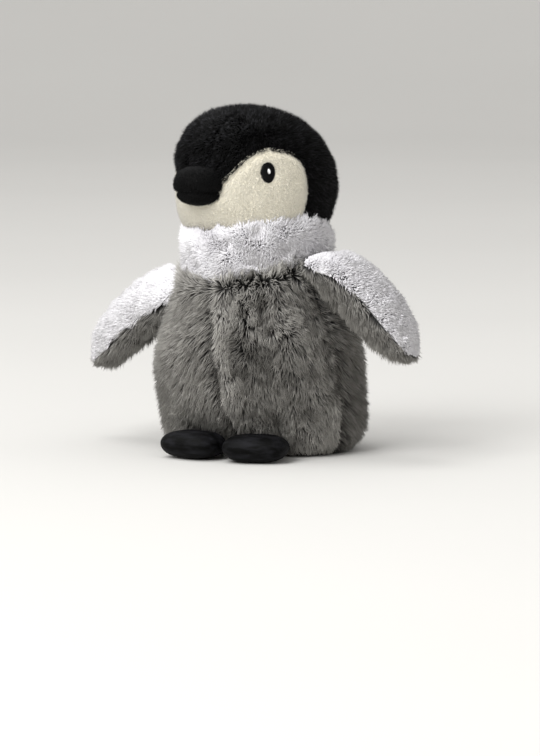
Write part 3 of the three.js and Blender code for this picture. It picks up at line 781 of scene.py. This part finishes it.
def mouthRise():  # the angle whose height on the beak is the mouth's
    tries = np.linspace(-math.pi / 2, 0, 2000)
    heights = beak["size"][2] * np.sin(tries) * roundedReach(tries, beak["square"])
    return float(np.interp(beak["mouthZ"], heights, tries))


beakMiddle = lambda p: headToRow(beak["middle"]) + 0 * p
outOfHead = lambda p: np.linalg.norm(rowToHead(p), axis=1) > head["radius"] - beak["intoHead"]
mouth = mouthRise()
beakComb = lambda p, normal, u, v: turnedZ(stack(0, -0.5, -0.5), head["yaw"]) + 0 * p
beaks = {"beak_velour_upper": ("beak_upper", mouth + beak["seamGap"], math.pi / 2, 51),
         "beak_velour_lower": ("beak_lower", -math.pi / 2, mouth - beak["seamGap"], 52)}
for name, (node, low, high, seed) in beaks.items():
    fabric(name, node, "head", blackVelour, beakSurface(low, high), beakMiddle, (72, 30),
           beak["thickness"], beakPile, seed, beakComb, keepCloth=outOfHead, keepPile=outOfHead)
print("head done")


# a thread rounds off at both ends as a power of the sine of an angle that starts at "turn"
threadEnd = {"turn": 0.25, "power": 0.4, "reach": 0.5}


def tubes(paths, radius, sides=6):
    # Round threads: each path is a row of points, carried by a ring of corners that is square to
    # the path and closes at both ends on the path's own end points.
    count, steps = paths.shape[:2]
    along = unit(np.gradient(paths, axis=1))
    other = unit(np.cross(along, stack(0.2, 0.1, 0.97) + 0 * along))
    third = np.cross(along, other)
    angle = np.arange(sides) * 2 * math.pi / sides
    ring = other[:, :, None] * np.cos(angle)[:, None] + third[:, :, None] * np.sin(angle)[:, None]
    turn = np.linspace(threadEnd["turn"], math.pi - threadEnd["turn"], steps)
    thick = radius * np.sin(turn) ** threadEnd["power"]
    body = paths[:, :, None] + ring * thick[:, None, None]
    corners = np.concatenate([body.reshape(count, -1, 3),
                              paths[:, :1] - along[:, :1] * radius * threadEnd["reach"],
                              paths[:, -1:] + along[:, -1:] * radius * threadEnd["reach"]], 1)
    k, j = np.meshgrid(np.arange(steps - 1), np.arange(sides), indexing="ij")
    a, b = (k * sides + j).ravel(), (k * sides + (j + 1) % sides).ravel()
    quads = np.concatenate([np.stack([a, b, b + sides], 1), np.stack([a, b + sides, a + sides], 1)])
    j = np.arange(sides)
    start, end = steps * sides, steps * sides + 1
    last = (steps - 1) * sides
    caps = np.concatenate([np.stack([(j + 1) % sides, j, 0 * j + start], 1),
                           np.stack([last + j, last + (j + 1) % sides, 0 * j + end], 1)])
    faces = np.concatenate([quads, caps])
    each = corners.shape[1]
    return corners.reshape(-1, 3), (np.arange(count)[:, None, None] * each + faces).reshape(-1, 3)


def threadMaterial(name, hexCode, roughness, shine):
    # Thread whose two plies turn about every 1.2 mm. That is too fine to show, so its slanting light and
    # dark, painted
    # shade along the twist, is drawn coarser: a diagonal wave repeats every 0.36 / Scale, here 2.9 mm.
    made, tree = newMaterial(name)
    place = add(tree, "ShaderNodeTexCoord")
    twist = add(tree, "ShaderNodeTexWave", {"bands_direction": "DIAGONAL"},
                {0: place.outputs["Object"], "Scale": 0.15 / (1.2 * mm), "Distortion": 1.5})
    tint = add(tree, "ShaderNodeValToRGB", {"stops": [(0, "#b4b4b4"), (1, "#ffffff")]}, {0: twist.outputs[1]})
    both = add(tree, "ShaderNodeMix", {"data_type": "RGBA", "blend_type": "MULTIPLY"},
               {0: 1.0, 6: colour(hexCode), 7: tint.outputs[0]})
    rise = add(tree, "ShaderNodeBump", None,
               {"Strength": 0.3, "Distance": 0.1 * mm, "Height": twist.outputs[1]})
    finishMaterial(tree, {"Base Color": both.outputs[2], "Roughness": roughness,
                          "Specular IOR Level": shine, "Normal": rise.outputs[0]})
    return made


blackThread = threadMaterial("blackRayonThread", "#050506", 0.4, 0.1)
whiteThread = threadMaterial("whiteRayonThread", "#fbfbfb", 0.35, 0.4)
greyThread = threadMaterial("greyPolyesterThread", "#76736e", 0.6, 0.3)


def onFace(side, across, up, lift):  # a point beside or above the eye's middle, lifted off the face
    azimuth = side * (eyePlace["azimuth"] + across / head["radius"])
    rise = np.arcsin((eyePlace["height"] + up) / head["radius"])
    return headToRow(headPoint(azimuth, rise, faceCloth["inset"] + eyeDip(azimuth, rise) - lift))


def threadPiece(name, node, body, material, corners, faces):
    made = makeMesh(name, corners, faces, None, material)
    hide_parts(node)
    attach(made, body)


satin = {"rows": 44, "steps": 11, "radius": 0.22, "slant": 0.22, "crown": 1.1, "span": 0.985, "egg": 0.14,
         "over": 0.15, "scallop": 0.35, "ragged": 0.15, "lift": 0.35}
glint = {"rows": 7, "steps": 7, "radius": 0.28, "slant": 0.2, "span": 0.9, "across": 0.5, "up": 0.8,
         "halfWidth": 1.05, "halfHeight": 1.7, "lift": 1.75}
for name, side in (("left", 1), ("right", -1)):
    rng = np.random.default_rng(61)
    # rows of satin stitch from the eye's foot to its top; each row is as wide as an egg with its
    # point down, and its end towards the beak stands out a little further on every third row
    row = np.linspace(-satin["span"], satin["span"], satin["rows"])
    half = eyePlace["halfWidth"] * np.sqrt(1 - row**2) * (1 + satin["egg"] * row) + satin["over"]
    third = np.arange(satin["rows"]) % 3 == 0
    scallop = satin["scallop"] * third + satin["ragged"] * rng.random(satin["rows"])
    t = np.linspace(-1, 1, satin["steps"])
    across = np.where(t < 0, t * (half + scallop)[:, None], t * half[:, None])
    up = row[:, None] * eyePlace["halfHeight"] + satin["slant"] * across
    lift = satin["lift"] + satin["crown"] * (1 - t**2) ** 0.6 * np.sqrt(1 - row[:, None] ** 2) ** 0.5
    corners, faces = tubes(onFace(side, across, up, lift), satin["radius"])
    threadPiece(f"eye_stitches_{name}", f"eye_{name}", "head", blackThread, corners, faces)
    row = np.linspace(-glint["span"], glint["span"], glint["rows"])[:, None]
    t = np.linspace(-1, 1, glint["steps"])
    across = glint["across"] + glint["halfWidth"] * np.sqrt(1 - row ** 2) * t
    up = glint["up"] + glint["halfHeight"] * row + glint["slant"] * across
    corners, faces = tubes(onFace(side, across, up, glint["lift"] + 0 * across), glint["radius"])
    threadPiece(f"eye_glint_stitches_{name}", f"eye_glint_{name}", "head", whiteThread,
                corners, faces)

# the hand-sewn closing: short slanting stitches across the back seam
ladder = {"low": 20, "high": 75, "stitches": 19, "reach": 1.9, "radius": 0.32, "steps": 7, "slant": 0.5,
          "sink": 1.2, "crown": 1.6}
z = np.linspace(ladder["low"], ladder["high"], ladder["stitches"])[:, None]
t = np.linspace(-1, 1, ladder["steps"])
rungs = torsoPoint(math.pi + t * ladder["reach"] / bodyCloth["meanReach"] + 0 * z, z + ladder["slant"] * t,
                   bodyCloth["inset"] + ladder["sink"] - ladder["crown"] * (1 - t**2))
corners, faces = tubes(rungs, ladder["radius"])
threadPiece("closing_stitches", "closing_seam", "torso", greyThread, corners, faces)
print("thread done")


wing = {"length": 95, "halfChord": 25, "rise": 14, "arch": 18, "rootPower": 3.6, "tipPower": 2.8,
        "z": {"left": 131.0, "right": 121.0}, "droop": {"left": 30 * rad, "right": 27 * rad},
        "roll": {"left": -14 * rad, "right": -24 * rad}, "sweep": {"left": 0.0, "right": 4 * rad},
        "out": 88 * rad, "gap": -2.4, "inset": 1.6, "thickness": 0.7,
        "wrapReach": 36.0, "wrap": {"left": (-9.0, -4.0, -6.5), "right": (9.0, -5.0, 2.5)},
        "taper": 0.1, "domePower": 2.2, "domeRound": 0.66, "rimHalf": 0.25, "rootGap": 1,
        "bendFrom": [-2.0, 0, 0], "bendTo": [9.0, 0, -1]}
wingPile = {"length": 5.8, "vary": 0.2, "width": 1.18, "perMm2": 2.7, "droop": 0.4, "curl": 0.28,
            "swirl": 0.55, "swirlSize": 14, "locks": [(3.4, 0.18, 0.14), (8.0, 0.12, 0.08)], "patch": 0.1,
            "patchSize": 24, "bends": True, "floor": False}
underPile = {**wingPile, "length": 10.0, "width": 0.85, "perMm2": 1.8, "curl": 0.2, "droop": 0.35,
             "locks": [(4.0, 0.5, 0.16), (9.0, 0.22, 0.1)]}


def wingTurn(name):  # roll about the wing's own length, then droop, then the way out from the body
    roll, droop = wing["roll"][name], wing["droop"][name]
    sweep = wing["sweep"][name]
    out = torso["twist"] + (-sweep if name == "left" else math.pi + sweep)
    cx, sx, cy, sy, cz, sz = (f(a) for a in (roll, droop, out) for f in (math.cos, math.sin))
    aboutX = np.array([[1, 0, 0], [0, cx, -sx], [0, sx, cx]])
    aboutY = np.array([[cy, 0, sy], [0, 1, 0], [-sy, 0, cy]])
    aboutZ = np.array([[cz, -sz, 0], [sz, cz, 0], [0, 0, 1]])
    return aboutZ @ aboutY @ aboutX


def wingSeat(name):
    way = 1 if name == "left" else -1
    return torsoPoint(np.array(way * wing["out"]), np.array(wing["z"][name]), wing["gap"])


def wingSurface(name, up, extra):
    # a sewn pillow: the outline is a rounded oblong, squarer at its root; the dome is low at the
    # rim and full in the middle, the whole wing arches down towards its tip, and the front corner of
    # the root is drawn in round the body
    turn, seat = wingTurn(name), wingSeat(name)
    ahead = -1 if name == "left" else 1
    def surface(u, v):
        angle = mix(-math.pi, math.pi, u)
        share = np.clip(v, 0, 1)
        power = np.where(np.cos(angle) < 0, wing["rootPower"], wing["tipPower"])
        reach = roundedReach(angle, power)
        half = wing["length"] / 2
        x = (half - extra) * reach * np.cos(angle) * share
        chord = (wing["halfChord"] - extra) * (1 - wing["taper"] * np.cos(angle))
        y = chord * reach * np.sin(angle) * share
        dome = np.maximum(1 - share ** wing["domePower"], 0) ** wing["domeRound"]
        height = (wing["rise"] - extra) * dome + wing["rimHalf"]
        out = (x + half) / wing["length"]
        local = stack(x + half + wing["rootGap"], y, up * height - wing["arch"] * out ** 2)
        drawn = smooth(1 - (x + half) / wing["wrapReach"]) * smooth(ahead * y / wing["halfChord"])
        return local @ turn.T + seat + drawn[..., None] * np.array(wing["wrap"][name])
    return surface


def wingMiddle(name, up):  # the middle line of the wing, a little past its middle from each face
    turn, seat = wingTurn(name), wingSeat(name)
    def inside(p):
        local = (p - seat) @ turn
        out = np.clip((local[..., 0] - wing["rootGap"]) / wing["length"], 0, 1)
        x = np.clip(local[..., 0], 20, 75)
        return stack(x, 0 * x, -wing["arch"] * out ** 2 - up * 3) @ turn.T + seat
    return inside


def wingComb(name, amount):
    turn = wingTurn(name)
    return lambda p, normal, u, v: (stack(amount, 0, 0) @ turn.T) + stack(0, 0, -0.15) + 0 * p


def wingTrim(p, u, v):  # caught short where the root is sewn to the body, and shorter round the tip
    outwards, edge = np.cos(mix(-math.pi, math.pi, u)), smooth((v - 0.7) / 0.25)
    return 1 - 0.7 * smooth((-outwards - 0.6) / 0.25) * edge - 0.4 * smooth((outwards - 0.3) / 0.4) * edge


for name in ("left", "right"):
    seat, turn = wingSeat(name), wingTurn(name)
    bendFrom, bendTo = ((seat + turn @ np.array(wing[end])) * mm for end in ("bendFrom", "bendTo"))
    hinge = ("torso", f"wing_{name}", bendFrom, bendTo)
    seed = 71 if name == "left" else 75
    fabric(f"wing_fur_{name}", f"wing_top_{name}", hinge, whitePlush,
           wingSurface(name, 1, wing["inset"]), wingMiddle(name, 1), (64, 22), wing["thickness"], wingPile,
           seed, wingComb(name, 0.5), wingTrim)
    fabric(f"wing_underfur_{name}", f"wing_underside_{name}", hinge, greyPlush,
           wingSurface(name, -1, wing["inset"]), wingMiddle(name, -1), (64, 22), wing["thickness"], underPile,
           seed + 1, wingComb(name, 0.6), wingTrim)
print("wings done")


foot = {"halfWidth": 22.8, "halfDepth": 17, "rise": 9.3, "splay": 14 * rad, "inset": 0.3, "square": 2.9,
        "seat": {"left": (23.4, -69.0), "right": (-23.4, -66.0)}, "lift": 0.2,
        "topPower": 3.2, "topRound": 0.5, "solePower": 4, "soleRound": 0.6}


def footSurface(name):
    # a pillow in one closed surface: v runs from the middle of the sole, out to the rim, to the top
    way = 1 if name == "left" else -1
    x0, y0 = foot["seat"][name]
    def surface(u, v):
        angle = mix(-math.pi, math.pi, u)
        turn = mix(-math.pi / 2, math.pi / 2, v)
        share = np.cos(turn)
        reach = roundedReach(angle, foot["square"])
        x = (foot["halfWidth"] - foot["inset"]) * reach * np.cos(angle) * share
        y = (foot["halfDepth"] - foot["inset"]) * reach * np.sin(angle) * share
        top = foot["rise"] - foot["inset"]
        upper = top * np.maximum(1 - share ** foot["topPower"], 0) ** foot["topRound"]
        sole = -top * np.maximum(1 - share ** foot["solePower"], 0) ** foot["soleRound"]
        p = turnedZ(stack(x, y, np.where(turn > 0, upper, sole)), way * foot["splay"])
        return p + stack(x0, y0, foot["rise"] + foot["lift"])
    return surface


def velourSkin(name):
    # Polyester velour seen without its nap: bump every 0.5 mm, and a broader crush of about 5 mm,
    # drawn out from side to side, that turns the shine and paints paler streaks into the colour, a painted
    # sheen
    made, tree = newMaterial(name)
    place = add(tree, "ShaderNodeTexCoord")
    lay = add(tree, "ShaderNodeMapping", None, {0: place.outputs["Object"], 3: (0.35, 1.0, 1.6)})
    crushAndSheen = add(tree, "ShaderNodeTexNoise", None, {0: lay.outputs[0], "Scale": 1 / (5 * mm), "Detail": 3.0})
    nap = add(tree, "ShaderNodeTexNoise", None,
              {0: place.outputs["Object"], "Scale": 1 / (0.5 * mm), "Detail": 2.0})
    # painted sheen: the black is paler where the crush turns the nap to the light
    tint = add(tree, "ShaderNodeValToRGB", {"stops": [(0.4, "#020202"), (0.7, "#1a1a1d")]},
               {0: crushAndSheen.outputs[0]})
    gloss = add(tree, "ShaderNodeMapRange", None, {0: crushAndSheen.outputs[0], 3: 0.5, 4: 0.75})
    rise = add(tree, "ShaderNodeBump", None,
               {"Strength": 0.5, "Distance": 0.25 * mm, "Height": nap.outputs[0]})
    fold = add(tree, "ShaderNodeBump", None, {"Strength": 0.5, "Distance": 0.8 * mm,
                                              "Height": crushAndSheen.outputs[0], "Normal": rise.outputs[0]})
    finishMaterial(tree, {"Base Color": tint.outputs[0], "Roughness": gloss.outputs[0],
                          "Normal": fold.outputs[0], "Specular IOR Level": 0.08})
    return made


footVelour = velourSkin("blackVelourSkin")
stuff = {"voxel": 1.6 * mm, "pressure": 4.0, "frames": 20, "cap": 1.6 * mm, "mass": 0.15, "stiffness": 12,
         "floor": 0.2 * mm}


def inflate(obj):
    # blows the sewn skin up like a stuffed pillow, then holds each point near where it began
    scene = bpy.context.scene
    bpy.context.view_layer.objects.active = obj
    remesh = obj.modifiers.new("even", "REMESH")
    remesh.mode, remesh.voxel_size = "VOXEL", stuff["voxel"]
    bpy.ops.object.modifier_apply(modifier=remesh.name)
    before = np.zeros(len(obj.data.vertices) * 3)
    obj.data.vertices.foreach_get("co", before)
    cloth = obj.modifiers.new("stuffing", "CLOTH")
    cloth.settings.use_pressure = True
    cloth.settings.uniform_pressure_force = stuff["pressure"]
    cloth.settings.effector_weights.gravity = 0
    cloth.settings.mass = stuff["mass"]
    cloth.settings.tension_stiffness = cloth.settings.compression_stiffness = stuff["stiffness"]
    for step in range(1, stuff["frames"] + 1):
        scene.frame_set(step)
    bpy.ops.object.modifier_apply(modifier=cloth.name)
    scene.frame_set(1)
    after = np.zeros_like(before)
    obj.data.vertices.foreach_get("co", after)
    move = (after - before).reshape(-1, 3)
    far = np.linalg.norm(move, axis=1, keepdims=True)
    held = before.reshape(-1, 3) + move * np.minimum(1, stuff["cap"] / np.maximum(far, 1e-9))
    held[:, 2] = np.maximum(held[:, 2], stuff["floor"])
    obj.data.vertices.foreach_set("co", held.ravel())
    obj.data.update()
    obj.data.polygons.foreach_set("use_smooth", np.ones(len(obj.data.polygons), bool))
    round_ = obj.modifiers.new("smooth", "SUBSURF")
    round_.levels = round_.render_levels = 1
    bpy.ops.object.modifier_apply(modifier=round_.name)


for name in ("left", "right"):
    corners, faces = closedSurface(footSurface(name), (56, 36))
    made = makeMesh(f"foot_velour_{name}", corners, faces, None, footVelour)
    inflate(made)
    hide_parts(f"foot_upper_{name}", f"foot_sole_{name}")
    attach(made, f"foot_{name}")
print("feet done")


fabric("base_cloth", "base_panel", "torso", greyPlush, baseDisc,
       lambda p: stack(0, 0, baseSize["z"]) + 0 * p, (72, 40), 0.3)

ribbonSize = {"standOut": 13, "height": 15, "thick": 0.35, "angle": 176 * rad, "z": 28, "gap": 1.0,
              "leafShare": 0.46, "foldShare": 0.08, "foldLength": 1.6, "sink": 0.5, "ripple": 0.5,
              "rippleTurn": 3, "bow": 1.2}


def ribbonSurface(u, v):
    # a ribbon folded in half: u runs out along one leaf, round the fold and back along the other
    away, out = ribbonSize["gap"], ribbonSize["standOut"]
    leaf = ribbonSize["leafShare"]
    bend = np.clip((u - leaf) / ribbonSize["foldShare"], 0, 1) * math.pi
    along = np.where(u < leaf, u / leaf, np.where(u > 1 - leaf, (1 - u) / leaf, 1.0)) * out
    side_ = np.where(u < leaf, -away / 2, np.where(u > 1 - leaf, away / 2, -np.cos(bend) * away / 2))
    along = along + np.sin(bend) * away / 2 + ribbonSize["ripple"] * np.sin(v * ribbonSize["rippleTurn"])
    angle = ribbonSize["angle"]
    seat = torsoPoint(np.array(angle), np.array(float(ribbonSize["z"])),
                      bodyCloth["inset"] - ribbonSize["sink"])
    outward = stack(math.sin(angle), -math.cos(angle), 0)
    round_ = stack(math.cos(angle), math.sin(angle), 0)
    bow = ribbonSize["bow"] * (along / out) ** 2
    rise = (v - 0.5) * ribbonSize["height"]
    return (seat + outward * along[..., None] + round_ * (side_ + bow)[..., None]
            + stack(0, 0, 1) * rise[..., None])


def ribbonMaterial():
    # Woven polyester satin ribbon, blank: threads every 0.5 mm, with painted shade between them. A straight
    # wave repeats every 6.28 / 20 / Scale.
    made, tree = newMaterial("whiteSatinRibbon")
    place = add(tree, "ShaderNodeTexCoord")
    weave = add(tree, "ShaderNodeTexWave", {"bands_direction": "Z"},
                {0: place.outputs["Object"], "Scale": 6.28 / 20 / (0.5 * mm)})
    tint = add(tree, "ShaderNodeValToRGB", {"stops": [(0, "#e4e4df"), (1, "#f7f7f4")]}, {0: weave.outputs[1]})
    rise = add(tree, "ShaderNodeBump", None,
               {"Strength": 0.4, "Distance": 0.1 * mm, "Height": weave.outputs[1]})
    finishMaterial(tree, {"Base Color": tint.outputs[0], "Roughness": 0.42, "Normal": rise.outputs[0]})
    return made


def ribbonMiddle(p):  # a point inside the body, so that the first leaf faces outwards
    return torsoPoint(np.array(ribbonSize["angle"]), np.array(float(ribbonSize["z"])), 10) + 0 * p


corners, faces, _ = clothShell(ribbonSurface, ribbonMiddle, (60, 14), ribbonSize["thick"])
ribbon = makeMesh("care_ribbon", corners, faces, None, ribbonMaterial())
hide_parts("care_label")
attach(ribbon, "torso")


def speckled(name, stops, size, inputs, rise=0.4):
    # a loose filling or plain cloth: blotches of the given size in mm, as colour and as bump
    made, tree = newMaterial(name)
    place = add(tree, "ShaderNodeTexCoord")
    blotch = add(tree, "ShaderNodeTexNoise", None,
                 {0: place.outputs["Object"], "Scale": 1 / (size * mm), "Detail": 4.0})
    tint = add(tree, "ShaderNodeValToRGB", {"stops": stops}, {0: blotch.outputs[0]})
    height = add(tree, "ShaderNodeBump", None,
                 {"Strength": rise, "Distance": size * 0.3 * mm, "Height": blotch.outputs[0]})
    finishMaterial(tree, {"Base Color": tint.outputs[0], "Normal": height.outputs[0], **inputs})
    return made


fibrefill = speckled("polyesterFibrefill", [(0.3, "#e6e6e2"), (0.7, "#fbfbf9")], 3, {"Roughness": 1.0})
calico = speckled("cottonCalico", [(0.3, "#dcd5c4"), (0.7, "#ece6d8")], 0.8, {"Roughness": 0.9})
pellets = speckled("polyethylenePellets", [(0.3, "#a58f66"), (0.7, "#cbb68e")], 3, {"Roughness": 0.6}, 0.9)
for name, node in nodes.items():
    if node.hide_render:
        continue
    if "stuffing" in name:
        chosen = fibrefill
    elif name == "bead_filling":
        chosen = pellets
    elif name.startswith("bead_bag"):
        chosen = calico
    else:
        chosen = greyThread
    node.material_slots[0].material = chosen
print("inner pieces done")


scene = bpy.context.scene
scene.view_settings.view_transform = "Standard"


floorSize = {"flat": 4000, "edge": 9000, "rise": 3500}


def dish(u, v):  # a round floor, flat to 4 m from the middle, that curves up all round beyond that
    angle = mix(0, 2 * math.pi, u)
    reach = v * floorSize["edge"]
    past = (reach - floorSize["flat"]) / (floorSize["edge"] - floorSize["flat"])
    height = np.where(reach > floorSize["flat"], past ** 2 * floorSize["rise"], 0.0)
    return stack(reach * np.cos(angle), reach * np.sin(angle), height)


def paperMaterial():
    # matt paper background: even, with a trace of warm grey
    made, tree = newMaterial("palePaper")
    place = add(tree, "ShaderNodeTexCoord")
    blotch = add(tree, "ShaderNodeTexNoise", None,
                 {0: place.outputs["Object"], "Scale": 1.2, "Detail": 2.0})
    tint = add(tree, "ShaderNodeValToRGB", {"stops": [(0.3, "#c3c2bf"), (0.7, "#c6c5c2")]},
               {0: blotch.outputs[0]})
    finishMaterial(tree, {"Base Color": tint.outputs[0], "Roughness": 0.95})
    return made


corners, faces = closedSurface(dish, (96, 60))
floor = makeMesh("floor", corners, faces, None, paperMaterial())

viewpoint = {"azimuth": 23 * rad, "pitch": 6.38 * rad, "distance": 2.690, "height": 0.349, "aside": 0.0041,
             "lens": 188.6, "sensor": 36, "nearest": 0.05, "furthest": 60}
right = Vector((math.cos(viewpoint["azimuth"]), math.sin(viewpoint["azimuth"]), 0))
back = Vector((math.sin(viewpoint["azimuth"]), -math.cos(viewpoint["azimuth"]), 0))
camera = bpy.data.objects.new("camera", bpy.data.cameras.new("camera"))
scene.collection.objects.link(camera)
rise = Vector((0, 0, viewpoint["height"]))
camera.location = back * viewpoint["distance"] + right * viewpoint["aside"] + rise
ahead = -back * math.cos(viewpoint["pitch"]) - Vector((0, 0, math.sin(viewpoint["pitch"])))
camera.rotation_mode = "QUATERNION"
camera.rotation_quaternion = ahead.to_track_quat("-Z", "Y")
camera.data.lens, camera.data.sensor_width = viewpoint["lens"], viewpoint["sensor"]
camera.data.clip_start, camera.data.clip_end = viewpoint["nearest"], viewpoint["furthest"]
scene.camera = camera


aimHeight = 0.12  # metres: the lights face the toy's middle


def softbox(name, azimuth, elevation, distance, size, power, hexCode):
    lamp = bpy.data.lights.new(name, "AREA")
    lamp.shape, lamp.size, lamp.energy, lamp.color = "SQUARE", size, power, colour(hexCode)[:3]
    made = bpy.data.objects.new(name, lamp)
    scene.collection.objects.link(made)
    a, e = azimuth * rad, elevation * rad
    way = Vector((math.sin(a) * math.cos(e), -math.cos(a) * math.cos(e), math.sin(e)))
    made.location = way * distance + Vector((0, 0, aimHeight))
    made.rotation_mode = "QUATERNION"
    made.rotation_quaternion = (-way).to_track_quat("-Z", "Y")


softbox("keyLight", -14, 36, 3.4, 2.0, 108, "#ffffff")
softbox("topLight", -60, 72, 3.2, 1.8, 36, "#ffffff")
world = bpy.data.worlds.new("studio")
scene.world = world
world.use_nodes = True
world.node_tree.nodes["Background"].inputs[0].default_value = colour("#f2f1f0")
world.node_tree.nodes["Background"].inputs[1].default_value = 1.05
print("stage done")
